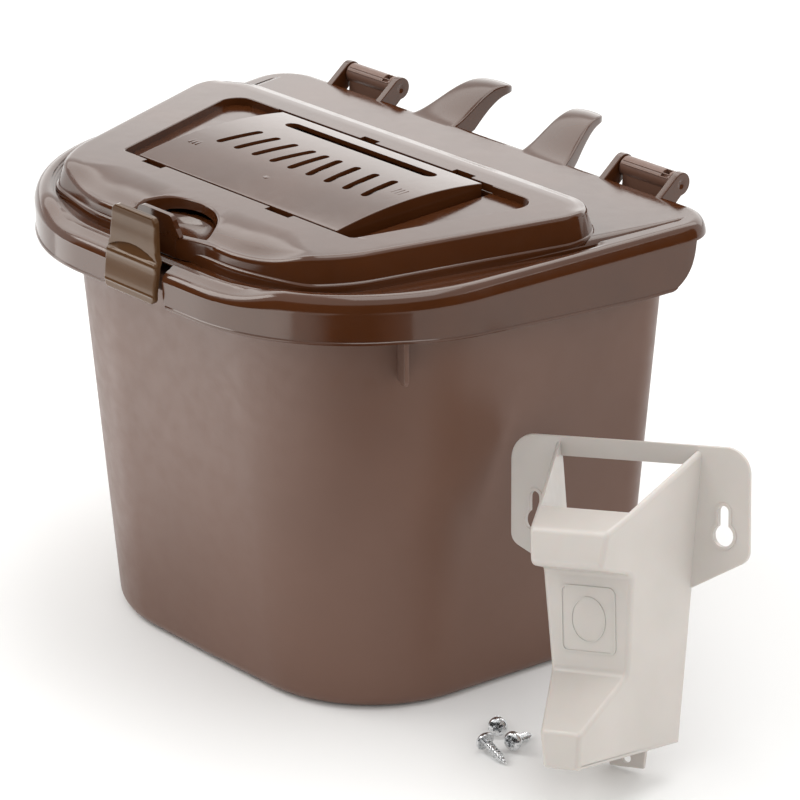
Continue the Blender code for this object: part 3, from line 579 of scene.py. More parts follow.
def dome_rings():
    """Top with a lower front and a sloping rear, rounded edge, flared wall and the bead at its foot."""
    edge = 2.6 * MM
    rings = [dome_ring(distance * MM, DOME_TOP, *falls) for distance, *falls in DOME_CREST]
    for c, s in arc(7):
        distance = edge * (1 - s) - 0.6 * MM
        rings.append(dome_ring(distance, DOME_TOP - edge * (1 - c), 6.0, 5.2, 1.3))
    for out, z in DOME_FOOT:
        rings.append(rim_ring(dome_outline_front(-out * MM), z * MM))
    rings.append(rim_ring(dome_outline_front(-DOME_FLARE - 0.6 * MM), CHANNEL_FLOOR, 1.2))
    return rings


def dome_outline_front(distance):
    return [Vector((p.x, p.y)) for p in dome_ring(distance, 0.0, 8.2)]


STEPS = ((10.4, 200.2), (10.1, 200.9), (9.3, 201.0), (9.1, 201.5), (8.3, 201.6), (8.1, 202.1),
         (7.3, 202.2), (7.0, 202.8), (5.9, 203.0), (4.6, 202.95))
SHOULDER = ((3.4, 202.6), (2.3, 201.9), (1.4, 200.9), (0.7, 199.6), (0.2, 198.1), (-0.1, 196.9),
            (-0.15, 195.6), (0.0, 194.6))
SHOULDER_DROP = (4.4, 4.2, 3.9, 3.4, 2.8, 2.0, 1.1, 0.4)
SHOULDER_INSIDE = ((3.1, 196.0), (3.6, 198.6), (6.2, 200.4))


def front_ring(distance, z, drop):
    """Ring of the rim at a distance in mm inside its ridge."""
    points = inset(RIDGE, distance * MM)
    if distance > 3.5:
        ring = rim_ring(points, z * MM)
    else:
        ring = at_height(points, z * MM)
    ridge = inset(RIDGE, 0.0)
    return [(x, y, height - drop * MM * rim_front(r.y)) for (x, y, height), r in zip(ring, ridge)]


def lid_rings():
    rings = dome_rings()
    first_step = len(rings)
    rings += [front_ring(d, z, min(4.4, 1.2 + (10.4 - d) * 0.55)) for d, z in STEPS]
    rings += [front_ring(d, z, drop) for (d, z), drop in zip(SHOULDER, SHOULDER_DROP)]
    for distance, above in ((0.15, 1.5), (-0.25, 1.2), (-0.35, 0.6), (-0.2, 0.1), (0.2, 0.0), (2.2, 0.0),
                            (2.5, 0.4)):
        rings.append(skirt_ring(inset(RIDGE, distance * MM), above * MM))
    for (d, z), drop in zip(SHOULDER_INSIDE, (2.0, 3.2, 3.4)):
        rings.append(lowered(at_height(inset(RIDGE, d * MM), z * MM), drop * MM))
    rings.append(lowered(at_height(inset(RIDGE, CHANNEL_INSET - 1.2 * MM), LID_TOP - SKIN), 3.0 * MM))
    rings.append(lowered([(x, y, z - SKIN) for x, y, z in rim_ring(inset(RIDGE, CHANNEL_INSET),
                                                                  CHANNEL_FLOOR)], 1.2 * MM))
    rings.append([(x, y, z - SKIN) for x, y, z in rim_ring(dome_outline_front(-2.0 * MM), CHANNEL_FLOOR,
                                                           1.2)])
    rings.append(dome_ring(2.2 * MM, DOME_TOP - 3.0 * MM, 8.5, 6.5, 1.3))
    rings.append(dome_ring(3.4 * MM, DOME_TOP - SKIN, 9.5, 6.5, 1.0))
    rings.append(dome_ring(11.5 * MM, DOME_TOP - SKIN, 19.5))
    return rings, first_step


def rear_skirt_cutter():
    low = SKIRT_BOTTOM - SKIRT_DROP - 6.0 * MM
    foot = SKIRT_BOTTOM - SKIRT_DROP - 0.5 * MM
    rise = REAR_SKIRT_BOTTOM - foot
    points = [(-0.16, REAR_SKIRT_START, low)]
    for c, s in arc(24):
        points.append((-0.16, REAR_SKIRT_START + REAR_SKIRT_ROUND * s, foot + rise * (1 - c)))
    points += [(-0.16, 0.12, REAR_SKIRT_BOTTOM), (-0.16, 0.12, low)]
    return prism("rear_skirt_cut", points, (0.32, 0, 0))


def recess_outline(distance):
    front = RECESS_FRONT - distance
    back = RECESS_BACK + distance
    marks = [Vector((-74.0 * MM - distance, front)), Vector((74.0 * MM + distance, front)),
             Vector((99.0 * MM + distance, back)), Vector((-99.0 * MM - distance, back))]
    radii = (3.0 * MM, 3.0 * MM, 9.0 * MM, 9.0 * MM)
    return rounded(marks, [max(radius + distance, MM) for radius in radii], 10)


def lower_recess_outline(distance):
    """Ends just beyond the insert, so that a broad ledge is left at each side of it."""
    points = recess_outline(distance)
    reach = RECESS_LEDGE_START + distance
    for p in points:
        p.x = max(-reach, min(reach, p.x))
    return points


def pocket_outline(distance, flat_front):
    rx, ry = (radius + distance for radius in POCKET_RADII)
    points = []
    for c, s in circle(72):
        x = rx * c
        y = POCKET_CENTRE_Y + ry * s
        points.append(Vector((x, max(y, flat_front + 4.6 * MM * (x / rx) ** 2))))
    return points


def slot_plan(front, back, width, steps=8):
    along = (back - front).normalized()
    across = Vector((along.y, -along.x))
    radius = width / 2
    points = []
    for end, start in ((front, -1), (back, 1)):
        for c, s in arc(steps, math.pi):
            points.append(end + across * (-start * radius * c) + along * (start * radius * s))
    return points


def vent_ends(i, width):
    x = (i - (SLOT_COUNT - 1) / 2) * SLOT_PITCH
    lean = 0.0 if abs(x) < MM else SLOT_LEAN * math.copysign(1.0, x)
    return Vector((x, SLOT_FRONT + width / 2)), Vector((x - lean, SLOT_BACK - width / 2))


def slab(name, points, low, high):
    return prism(name, at_height(points, low), (0, 0, high - low))


def horn_top(y):
    if y > HORN_CREST:
        past = (y - HORN_CREST) / (HORN_BACK - HORN_CREST)
        return LID_TOP + HORN_RISE - HORN_DROOP * past * past
    t = (y - HORN_START) / (HORN_CREST - HORN_START)
    return LID_TOP - 0.3 * MM + (HORN_RISE + 0.3 * MM) * (0.5 - 0.5 * math.cos(math.pi * t))


def horn_section(y, side):
    """Closed section across a horn: slightly crowned top, rounded edges, flat underside."""
    s = (y - HORN_START) / (HORN_BACK - HORN_START)
    middle = HORN_BASE_X + (HORN_TIP_X - HORN_BASE_X) * s
    tip_round = math.sqrt(max(0.03, 1 - max(0.0, (s - 0.82) / 0.18) ** 2))
    half = (HORN_BASE_HALF + (HORN_TIP_HALF - HORN_BASE_HALF) * s ** 0.9) * tip_round
    outside, inside, tip = HORN_THICK
    thinning = clamped((s - 0.35) / 0.65)
    top = horn_top(y)
    soft = 0.9 * MM
    upper, lower = [], []
    for j in range(17):
        v = -math.cos(math.pi * j / 16)
        root = outside + (inside - outside) * (0.5 - 0.5 * v)
        thick = max(root + (tip - root) * thinning, 1.6 * MM)
        x = side * (middle + v * half)
        edge = soft * (1 - math.sqrt(max(0.0, 1 - max(0.0, (abs(v) - 0.9) / 0.1) ** 2)))
        crown = 0.6 * MM * (1 - v * v)
        upper.append((x, y, top - edge + crown * min(1.0, s * 3)))
        lower.append((x, y, max(top - thick + edge, BUCKET_TOP + 0.6 * MM)))
    return upper + lower[::-1]


def horn(side):
    rings = []
    for i in range(33):
        y = HORN_START + (HORN_BACK - HORN_START) * (1 - (1 - i / 32) ** 1.5)
        rings.append(horn_section(y, side))
    return loft(f"horn_{side}", rings)


def cheek(low_x, name):
    points = []
    for i in range(29):
        angle = math.radians(125.0 - 215.0 * i / 28)
        y = AXIS_Y + CHEEK_RADIUS * math.cos(angle)
        points.append((low_x, y, AXIS_Z + CHEEK_RADIUS * math.sin(angle)))
    points += [(low_x, y * MM, z * MM) for y, z in CHEEK_ROOT]
    return prism(name, points, (CHEEK_THICK, 0, 0), 0.45 * MM, 3)


def dimple(x, outward, name):
    """Shallow cone pressed into the outer face of a cheek, over the pin's end."""
    rings = []
    for reach, radius in ((0.6, 3.2), (0.0, 2.9), (-0.7, 1.2), (-0.9, 0.3)):
        rings.append([(x + outward * reach * MM, AXIS_Y + a, AXIS_Z + b)
                      for a, b in circle(32, radius * MM)])
    return loft(name, rings)


def thumb_plate():
    right = [(x * MM, z * MM) for x, z in THUMB_FLANK]
    for c, s in arc(8):
        right.append((THUMB_HALF - THUMB_ROUND + THUMB_ROUND * c, THUMB_TOP - THUMB_ROUND + THUMB_ROUND * s))
    points = [(x, THUMB_Y - SKIN / 2, z) for x, z in mirrored(right)]
    return prism("thumb_plate", points, (0, SKIN, 0), 0.5 * MM, 3)


def latch_gap():
    """The gap in the skirt: narrow through the rim, with lower corners that flare outwards in a round."""
    flare = 5.0 * MM
    narrow, wide = LATCH_GAP_HALF
    middle = (narrow + wide) / 2
    right = [(narrow, LID_TOP + 3 * MM), (narrow, 201.6 * MM), (middle, 198.8 * MM), (wide, 196.0 * MM),
             (wide, SKIRT_BOTTOM + flare)]
    for c, s in arc(8)[1:]:
        right.append((wide + flare * (1 - c), SKIRT_BOTTOM + flare * (1 - s) - 0.2 * MM))
    right.append((wide + flare, SKIRT_BOTTOM - 4 * MM))
    points = [(x, -0.13, z) for x, z in mirrored(right)]
    return prism("latch_gap", points, (0, 0.13 - 108.2 * MM, 0))


def cut_recess(lid):
    under = DOME_TOP - 1.0 * MM
    combine(lid, [slab("recess_tray", recess_outline(SKIN), RECESS_FLOOR - SKIN, under)], "UNION")
    tools = [loft("recess", slab_rings(recess_outline, RECESS_LEDGE, DOME_TOP, 0.6 * MM)),
             loft("recess_low", slab_rings(lower_recess_outline, RECESS_FLOOR, RECESS_LEDGE, 0.4 * MM))]
    for k, (x, y, wide) in enumerate(CLIP_NOTCHES):
        low = ((x - wide / 2) * MM, (y - 1.9) * MM, 209.0 * MM)
        tools.append(box(f"clip_{k}", low, ((x + wide / 2) * MM, (y + 2.1) * MM, 230 * MM)))
    for i in range(SLOT_COUNT):
        width = SLOT_WIDTH + MM
        front, back = vent_ends(i, width)
        tools.append(slab(f"floor_slot_{i}", slot_plan(front, back, width), RECESS_FLOOR - 6 * MM,
                          RECESS_FLOOR + 3 * MM))
    combine(lid, tools, "DIFFERENCE")


def pocket_apron():
    """Thickening of the dome's front that carries the thumb plate, with concave ends."""
    plan = mirrored([(x * MM, y * MM) for x, y in APRON])
    plan += [(-33.0 * MM, -91.0 * MM), (33.0 * MM, -91.0 * MM)]
    return prism("pocket_apron", [(x, y, 199.1 * MM) for x, y in plan], (0, 0, 10.2 * MM), 0.9 * MM, 4)


def pocket_rings():
    """Bowl with a rounded floor, whose lip follows the dome's top."""
    flat = THUMB_Y + SKIN / 2
    rings = []
    for inward, above in ((11.0, 0.0), (7.5, 0.25), (4.6, 1.1), (2.4, 2.5), (0.9, 4.3), (0.15, 5.6)):
        rings.append(at_height(pocket_outline(-inward * MM, flat + inward * 0.5 * MM),
                               POCKET_FLOOR + above * MM))
    for grow, below in ((0.0, 1.1), (0.2, 0.5), (0.7, 0.12), (1.4, -0.05)):
        points = pocket_outline(grow * MM, flat - 0.1 * grow * MM)
        lowest = POCKET_FLOOR + 5.9 * MM
        rings.append([(p.x, p.y, max(dome_surface(p.y) - below * MM, lowest)) for p in points])
    points = pocket_outline(1.5 * MM, flat - 0.15 * MM)
    rings.append(at_height(points, DOME_TOP + 2.0 * MM))
    return rings


def cut_pocket(lid):
    tray = [(p.x, p.y, POCKET_FLOOR - SKIN) for p in pocket_outline(SKIN, THUMB_Y)]
    combine(lid, [prism("pocket_tray", tray, (0, 0, 207.5 * MM - POCKET_FLOOR + SKIN)), pocket_apron()],
            "UNION")
    combine(lid, [loft("pocket", pocket_rings())], "DIFFERENCE")
    combine(lid, [thumb_plate()], "UNION")


def add_hinge(lid, side):
    inner = CHEEK_INNER + CHEEK_THICK
    outer = CHEEK_OUTER - CHEEK_THICK
    low, high = sorted((side * inner, side * outer))
    notch = box(f"notch_{side}", (low, 91.0 * MM, 190.0 * MM), (high, 0.11, LID_TOP + 9 * MM))
    combine(lid, [notch], "DIFFERENCE")
    for k, (start, outward) in enumerate(((low - CHEEK_THICK, -1), (high, 1))):
        ear = cheek(start, f"cheek_{side}_{k}")
        face = start if outward < 0 else start + CHEEK_THICK
        combine(ear, [dimple(face, outward, f"dimple_{side}_{k}")], "DIFFERENCE")
        combine(lid, [ear], "UNION")


def build_lid(gloss, grain):
    rings, first_step = lid_rings()

    def band(k, centre):
        return int(k == first_step - 1 and centre.y < CHANNEL_END + 1.5 * MM)

    lid = loft("lid_shell", rings, band)
    combine(lid, [rear_skirt_cutter()], "DIFFERENCE")
    cut_recess(lid)
    cut_pocket(lid)
    combine(lid, [latch_gap()], "DIFFERENCE")
    for side in (-1, 1):
        combine(lid, [horn(side)], "UNION")
        add_hinge(lid, side)
    smooth(lid, [gloss, grain])
    return place(lid, "lid", "gloss_brown", "lid")


def build_pins(surface):
    for side, word in ((-1, "left"), (1, "right")):
        low, high = sorted((side * (CHEEK_INNER + 1.4 * MM), side * (CHEEK_OUTER - 1.4 * MM)))
        pin = rod_along_x(f"pin_{word}", low, high, AXIS_Y, AXIS_Z, 2.0 * MM, 32, 0.3 * MM)
        smooth(pin, [surface])
        place(pin, "lid", "gloss_brown", f"hinge_pin_{word}")


# ---------------------------------------------------------------- latch

def latch_at(below):
    """Half width and front Y of the latch at a distance below its top, in mm."""
    for (a, half_a, y_a), (b, half_b, y_b) in zip(LATCH_SECTIONS, LATCH_SECTIONS[1:]):
        if below <= b:
            t = ease((below - a) / (b - a))
            return half_a + (half_b - half_a) * t, y_a + (y_b - y_a) * t
    return LATCH_SECTIONS[-1][1:]


def latch_relief(x, below):
    """How far the front stands proud in mm: a crescent scoop up to the ridge, and the lower lip."""
    reach = 0.4 + 4.4 * max(0.0, 1 - (x / 16.2) ** 2)
    start = LATCH_RIDGE_AT - reach
    if below < start:
        scoop = 0.0
    elif below < LATCH_RIDGE_AT:
        t = (below - start) / reach
        scoop = -LATCH_RIDGE_PROUD * min(1.0, reach / 2.5) * (1 - t) + LATCH_RIDGE_PROUD * t ** 3
    else:
        scoop = LATCH_RIDGE_PROUD * math.exp(-((below - LATCH_RIDGE_AT) / 1.9) ** 2)
    lip = math.exp(-((below - LATCH_LIP_AT) / 0.45) ** 2)
    return scoop + 0.3 * lip


def fall_back(reach, radius):
    """How far a rounded edge lies back at a distance inside it."""
    return radius - math.sqrt(max(0.0, radius ** 2 - max(0.0, radius - reach) ** 2))


def build_latch(surface):
    bm = bmesh.new()
    across, down = 44, 150
    depth = LATCH_SECTIONS[-1][0]
    front, back = [], []
    for i in range(down + 1):
        below = depth * i / down
        half, y = latch_at(below)
        left = depth - below
        half -= fall_back(below, LATCH_TOP_ROUND) + fall_back(left, LATCH_FOOT_ROUND)
        rows = ([], [])
        for j in range(across + 1):
            x = -half * math.cos(math.pi * j / across)
            rim = min(half - abs(x), below, left)
            fall = fall_back(rim, LATCH_RIM_ROUND)
            proud = latch_relief(x, below) * min(1.0, rim / 1.2)
            z = LATCH_TOP - below * MM
            rows[0].append(bm.verts.new((x * MM, (y + fall - proud) * MM, z)))
            rows[1].append(bm.verts.new((x * MM, y * MM + LATCH_THICK, z)))
        front.append(rows[0])
        back.append(rows[1])
    for grid, flip in ((front, False), (back, True)):
        for a, b in zip(grid, grid[1:]):
            for j in range(across):
                face = (a[j], a[j + 1], b[j + 1], b[j])
                bm.faces.new(face[::-1] if flip else face)
    for j in range(across):
        bm.faces.new((front[0][j], back[0][j], back[0][j + 1], front[0][j + 1]))
        bm.faces.new((front[-1][j], front[-1][j + 1], back[-1][j + 1], back[-1][j]))
    for i in range(down):
        bm.faces.new((front[i][0], front[i + 1][0], back[i + 1][0], back[i][0]))
        bm.faces.new((front[i][-1], back[i][-1], back[i + 1][-1], front[i + 1][-1]))
    bmesh.ops.remove_doubles(bm, verts=bm.verts, dist=0.02 * MM)
    latch = mesh_object("latch_tab", bm)
    root = box("latch_root", (-11 * MM, -114.2 * MM, 198.6 * MM),
               (11 * MM, -108.5 * MM, 201.4 * MM), 0.4 * MM)
    catch = box("latch_catch", (-11 * MM, -116.6 * MM, 184.6 * MM),
                (11 * MM, -110.9 * MM, 189.2 * MM), 0.6 * MM)
    join(latch, [root, catch])
    smooth(latch, [surface])
    return place(latch, "latch", "gloss_brown", "front_latch")


# ---------------------------------------------------------------- vent insert

def arch_height(y):
    middle = (INSERT_FRONT + INSERT_BACK) / 2
    half = (INSERT_BACK - INSERT_FRONT) / 2
    return INSERT_EDGE + INSERT_CROWN * (1 - ((y - middle) / half) ** 2)


def arch_block(name, half_x, front, back, bottom, drop, width):
    points = [(-half_x, front, bottom)]
    for i in range(41):
        y = front + (back - front) * i / 40
        points.append((-half_x, y, arch_height(y) - drop))
    points.append((-half_x, back, bottom))
    return prism(name, points, (2 * half_x, 0, 0), width, 3)


def arch_slot(name, front, back, width, lip):
    """Slot cutter whose rounded lip follows the arch's height at the slot's middle."""
    top = arch_height((front.y + back.y) / 2)
    rings = []
    for grow, above in ((0.0, -8 * MM), (0.0, -lip * 1.6), (lip * 1.2, 0.2 * MM), (lip * 1.2, 8 * MM)):
        rings.append(at_height(slot_plan(front, back, width + grow), top + above))
    return loft(name, rings)


def raised_mark(name, points, height):
    """Thin raised bar lying on the insert's arch."""
    y = sum(p[1] for p in points) / len(points)
    z = arch_height(y) - 0.3 * MM
    return prism(name, [(px, py, z) for px, py in points], (0, 0, 0.3 * MM + height), 0.1 * MM, 2)


def insert_marks():
    """Small plain marks: one at the middle of the front, and a group of bars near each end."""
    marks = []
    for k, radius in enumerate((1.5, 0.6)):
        ring = [(a, b - 41.0 * MM) for a, b in circle(24, radius * MM)]
        marks.append(raised_mark(f"mark_{k}", ring, (0.08 + 0.08 * k) * MM))
    for side, y0 in ((-1, -34.0), (1, -14.0)):
        for k in range(3):
            x = side * (52.0 + 2.2 * k)
            bar = [((x + a) * MM, (y0 + b) * MM) for a, b in ((-0.4, -3), (0.4, -3), (0.4, 3), (-0.4, 3))]
            marks.append(raised_mark(f"bar_{side}_{k}", bar, 0.10 * MM))
    return marks


def build_insert(surface):
    bottom = RECESS_FLOOR + 0.3 * MM
    insert = arch_block("insert_plate", INSERT_HALF, INSERT_FRONT, INSERT_BACK, bottom, 0.0, 0.5 * MM)
    hollow = arch_block("insert_hollow", INSERT_HALF - 2 * MM, INSERT_FRONT + 1.8 * MM,
                        INSERT_BACK - 1.8 * MM, bottom - 5 * MM, 2.0 * MM, 0.0)
    tools = [hollow]
    for i in range(SLOT_COUNT):
        front, back = vent_ends(i, SLOT_WIDTH)
        tools.append(arch_slot(f"vent_{i}", front, back, SLOT_WIDTH, 0.5 * MM))
    length, width, y = FINGER_SLOT
    ends = [Vector((s * (length - width) / 2, y)) for s in (-1, 1)]
    tools.append(arch_slot("finger", ends[0], ends[1], width, 0.5 * MM))
    combine(insert, tools, "DIFFERENCE")
    join(insert, insert_marks())
    smooth(insert, [surface])
    return place(insert, "insert", "gloss_brown", "vent_insert")


# ---------------------------------------------------------------- wall bracket

def bracket_half(out, z):
    return BRACKET_HALF + BRACKET_WIDEN_UP * z - BRACKET_NARROW_OUT * out


def rounded_profile(points, radii, steps=6):
    """The closed profile with each corner rounded by its own radius, as far as its sides allow."""
    made = []
    count = len(points)
    for i, radius in enumerate(radii):
        before, at, after = (Vector(points[i - 1]), Vector(points[i]), Vector(points[(i + 1) % count]))
        if not radius:
            made.append(at)
            continue
        half = (before - at).angle(after - at) / 2
        room = 0.46 * min((before - at).length, (after - at).length)
        made += corner(before, at, after, min(radius, room * math.tan(half)), steps)
    return made


def shrunk(points, distance):
    """The closed profile moved inwards, each point along the mean normal of its two sides."""
    area = sum(a.x * b.y - b.x * a.y for a, b in zip(points, points[1:] + points[:1]))
    turn = math.copysign(1.0, area)
    made = []
    for i, at in enumerate(points):
        first = (at - points[i - 1]).normalized()
        second = (points[(i + 1) % len(points)] - at).normalized()
        normal = Vector((-first.y - second.y, first.x + second.x)).normalized() * turn
        spread = max(0.5, normal.dot(Vector((-first.y, first.x)) * turn))
        made.append(at + normal * (distance / spread))
    return made


def bracket_solid(name, profile, less, edge, steps=5):
    """Solid between the two leaning side planes, with its long edges rounded by the given radius."""
    rings = []
    for side in (-1, 1):
        for c, s in arc(steps)[::-side]:
            inward = edge * (1 - c)
            ring = []
            for p in shrunk(profile, edge * (1 - s)):
                half = bracket_half(p.x, p.y) - less - inward
                ring.append((side * half, -p.x, p.y))
            rings.append(ring)
            if not edge:
                break
    return loft(name, rings)


def bracket_flange():
    low = Vector((FLANGE_HALF, FLANGE_LOW))
    high = Vector((FLANGE_HALF, FLANGE_TOP))
    bend = corner(Vector(FLANGE_ROOT), low, high, 6 * MM, 8)
    bend += corner(low, high, Vector((0.0, FLANGE_TOP)), 11 * MM, 14)
    right = list(LUG_OUTLINE) + [FLANGE_NECK] + [(p.x, p.y) for p in bend]
    ring = [(x, 0.0, z) for x, z in mirrored(right)]
    return prism("bracket_body", ring, (0, -SKIN, 0), 0.6 * MM, 3)


def keyhole_points(grow):
    width, reach = KEYHOLE_SLOT
    radius = KEYHOLE_RADIUS + grow
    half = width / 2 + grow
    meet = math.asin(half / radius)
    points = []
    for i in range(33):
        angle = math.pi / 2 + meet + (2 * math.pi - 2 * meet) * i / 32
        points.append((radius * math.cos(angle), radius * math.sin(angle)))
    points += [(half * c, reach + half * s) for c, s in arc(12, math.pi)]
    return points


def keyhole(side, name, grow, y, depth):
    ring = [(side * KEYHOLE_X + x, y, KEYHOLE_Z + z) for x, z in keyhole_points(grow)]
    return prism(name, ring, (0, depth, 0), 0.25 * MM if grow else 0.0)


def frame_line(name, shape_outer, shape_inner, out, height):
    """Raised line on the bracket's panel, between an outer and an inner outline."""
    bm = bmesh.new()
    rows = []
    for shape, y in ((shape_outer, out), (shape_outer, out + height), (shape_inner, out + height),
                     (shape_inner, out)):
        rows.append([bm.verts.new((x, -y - 0.0482 * (z - 57.0 * MM), z)) for x, z in shape])
    for a, b in zip(rows, rows[1:] + rows[:1]):
        bridge(bm, a, b)
    return mesh_object(name, bm)


def rounded_rectangle(half_x, low, high, radius):
    marks = [Vector((-half_x, low)), Vector((half_x, low)), Vector((half_x, high)), Vector((-half_x, high))]
    return [(p.x, p.y) for p in rounded(marks, (radius,) * 4, 8)]


def ring_points(rx, rz, z):
    return [(rx * c, z + rz * s) for c, s in circle(48)]


def bracket_matrix():
    turn = Matrix.Rotation(BRACKET_TURN, 4, "Z")
    lean = Matrix.Rotation(-BRACKET_LEAN, 4, Vector(LEAN_AXIS))
    return Matrix.Translation(BRACKET_AT) @ lean @ turn


def build_bracket(surface):
    bracket = bracket_flange()
    side = [(out * MM, z * MM) for out, z in BRACKET_SIDE]
    hollow = [(out * MM, z * MM) for out, z in BRACKET_HOLLOW]
    side_round = [r * MM for r in (0, 9, 4.5, 3, 3, 4, 3.5, 1.5, 0)]
    hollow_round = [r * MM for r in (0, 0, 0, 0, 3, 3, 2, 2, 2, 2, 1, 0)]
    skin = bracket_solid("bracket_skin", rounded_profile(side, side_round), 0.0, 2.0 * MM)
    combine(bracket, [skin], "UNION")
    inside = bracket_solid("bracket_inside", rounded_profile(hollow, hollow_round), SKIN, 0.0)
    tools = [inside]
    for hand in (-1, 1):
        rim = keyhole(hand, f"keyhole_rim_{hand}", 1.3 * MM, -SKIN + 0.1 * MM, -0.55 * MM)
        combine(bracket, [rim], "UNION")
        tools.append(keyhole(hand, f"keyhole_{hand}", 0.0, 5 * MM, -12 * MM))
    hole = [(x, 6 * MM, LUG_HOLE_Z + z) for x, z in circle(40, LUG_HOLE_RADIUS)]
    tools.append(prism("lug_hole", hole, (0, -12 * MM, 0)))
    combine(bracket, tools, "DIFFERENCE")
    lines = [frame_line("panel_line", rounded_rectangle(12.6 * MM, 44.0 * MM, 72.0 * MM, 3.0 * MM),
                        rounded_rectangle(11.8 * MM, 44.8 * MM, 71.2 * MM, 2.3 * MM), 36.3 * MM, 0.6 * MM),
             frame_line("panel_oval", ring_points(8.0 * MM, 9.6 * MM, 58.0 * MM),
                        ring_points(7.4 * MM, 9.0 * MM, 58.0 * MM), 36.3 * MM, 0.5 * MM)]
    join(bracket, lines)
    bracket.data.transform(bracket_matrix())
    smooth(bracket, [surface])
    return place(bracket, "bracket", "ivory", "wall_bracket")


# ---------------------------------------------------------------- screws

def screw_head():
    """Pan head with a cross recess, from its domed top down to its flat underside."""
    rings = [(SCREW_HEAD_RADIUS * s ** 0.8, SCREW_HEAD_HIGH * c ** 0.9) for c, s in arc(9)[1:]]
    rings += [(SCREW_HEAD_RADIUS, -0.15 * MM), (SCREW_HEAD_RADIUS * 0.97, -SCREW_NECK),
              (SCREW_ROOT, -SCREW_NECK)]
    head = loft("head", [[(x, y, z) for x, y in circle(48, radius)] for radius, z in rings])
    arms = []
    for turn in (0.0, math.pi / 2):
        arm = box(f"arm_{turn:.1f}", (-2.3 * MM, -0.45 * MM, 0.7 * MM), (2.3 * MM, 0.45 * MM, 4 * MM))
        arm.data.transform(Matrix.Rotation(turn, 4, "Z"))
        arms.append(arm)
    return combine(head, arms, "DIFFERENCE")


def screw_shank():
    """Tapered shank with one helical thread that fades out towards the point."""
    around, per_turn = 36, 14
    threaded = SCREW_LENGTH - SCREW_NECK
    steps = int(threaded / SCREW_PITCH * per_turn)
    loops = []
    for i in range(steps + 1):
        depth = SCREW_NECK + threaded * i / steps
        taper = min(1.0, (SCREW_LENGTH - depth) / SCREW_TAPER + 0.03)
        loop = []
        for k, (c, s) in enumerate(circle(around)):
            phase = (depth / SCREW_PITCH - k / around) % 1.0
            crest = max(0.0, 1 - abs(phase - 0.5) / 0.24)
            rise = (SCREW_CREST - SCREW_ROOT) * crest * min(1.0, (depth - SCREW_NECK) / (1.2 * MM))
            radius = (SCREW_ROOT + rise) * taper
            loop.append((radius * c, radius * s, -depth))
        loops.append(loop)
    return loft("shank", loops)


def build_screws(surface):
    tilt = math.atan2(SCREW_HEAD_RADIUS * 0.98, SCREW_LENGTH)
    height = SCREW_HEAD_RADIUS * math.cos(tilt) + SCREW_LIFT
    for number, (name, at, direction) in enumerate(SCREWS, start=1):
        screw = screw_head()
        screw.name = f"zinc_{name}"
        screw.data.transform(Matrix.Rotation(0.5 * number, 4, "Z"))
        join(screw, [screw_shank()])
        lie = Matrix.Rotation(direction, 4, "Z") @ Matrix.Rotation(-math.pi / 2 + tilt, 4, "Y")
        screw.data.transform(Matrix.Translation((at[0], at[1], height)) @ lie)
        smooth(screw, [surface], 38.0)
        place(screw, f"loose_{name}", "zinc", name)


# ---------------------------------------------------------------- materials

class Nodes:
    """Short ways to add and link shader nodes in one material."""

    def __init__(self, name):
        self.material = bpy.data.materials.new(name)
        self.material.use_nodes = True
        self.tree = self.material.node_tree
        self.shader = self.tree.nodes["Principled BSDF"]
        self.place = self.add("ShaderNodeTexCoord").outputs["Object"]

    def add(self, kind, **values):
        node = self.tree.nodes.new(kind)
        for key, value in values.items():
            setattr(node, key, value)
        return node

    def link(self, source, target):
        self.tree.links.new(source, target)

    def noise(self, scale, detail=4.0, rough=0.5, stretch=None):
        node = self.add("ShaderNodeTexNoise")
        node.inputs["Scale"].default_value = scale
        node.inputs["Detail"].default_value = detail
        node.inputs["Roughness"].default_value = rough
        source = self.place
        if stretch:
            mapping = self.add("ShaderNodeMapping")
            mapping.inputs["Scale"].default_value = stretch
            self.link(self.place, mapping.inputs["Vector"])
            source = mapping.outputs["Vector"]
        self.link(source, node.inputs["Vector"])
        return node.outputs["Fac"]

    def ramp(self, factor, low, high, start=0.3, end=0.7):
        node = self.add("ShaderNodeValToRGB")
        node.color_ramp.elements[0].position = start
        node.color_ramp.elements[1].position = end
        node.color_ramp.elements[0].color = (*low, 1.0)
        node.color_ramp.elements[1].color = (*high, 1.0)
        self.link(factor, node.inputs["Fac"])
        return node.outputs["Color"]

    def grey(self, factor, low, high, start=0.3, end=0.7, kind="LINEAR"):
        node = self.add("ShaderNodeMapRange", interpolation_type=kind)
        for name, value in (("From Min", start), ("From Max", end), ("To Min", low), ("To Max", high)):
            node.inputs[name].default_value = value
        self.link(factor, node.inputs["Value"])
        return node.outputs["Result"]

    def bump(self, height, strength, distance, after=None):
        node = self.add("ShaderNodeBump")
        node.inputs["Strength"].default_value = strength
        node.inputs["Distance"].default_value = distance
        self.link(height, node.inputs["Height"])
        if after:
            self.link(after, node.inputs["Normal"])
        return node.outputs["Normal"]


def surface(name, colour, rough, bumps=(), values=()):
    """A material from noise: a colour ramp, a range of roughness and bumps on top of each other.

    The values are those that are the same all over the surface.
    """
    n = Nodes(name)
    noise, *ramp = colour
    n.link(n.ramp(n.noise(*noise), *ramp), n.shader.inputs["Base Color"])
    if rough:
        noise, *span = rough
        n.link(n.grey(n.noise(*noise), *span), n.shader.inputs["Roughness"])
    normal = None
    for noise, strength, distance in bumps:
        normal = n.bump(n.noise(*noise), strength, distance, normal)
    if normal:
        n.link(normal, n.shader.inputs["Normal"])
    for key, value in values:
        n.shader.inputs[key].default_value = value
    return n.material


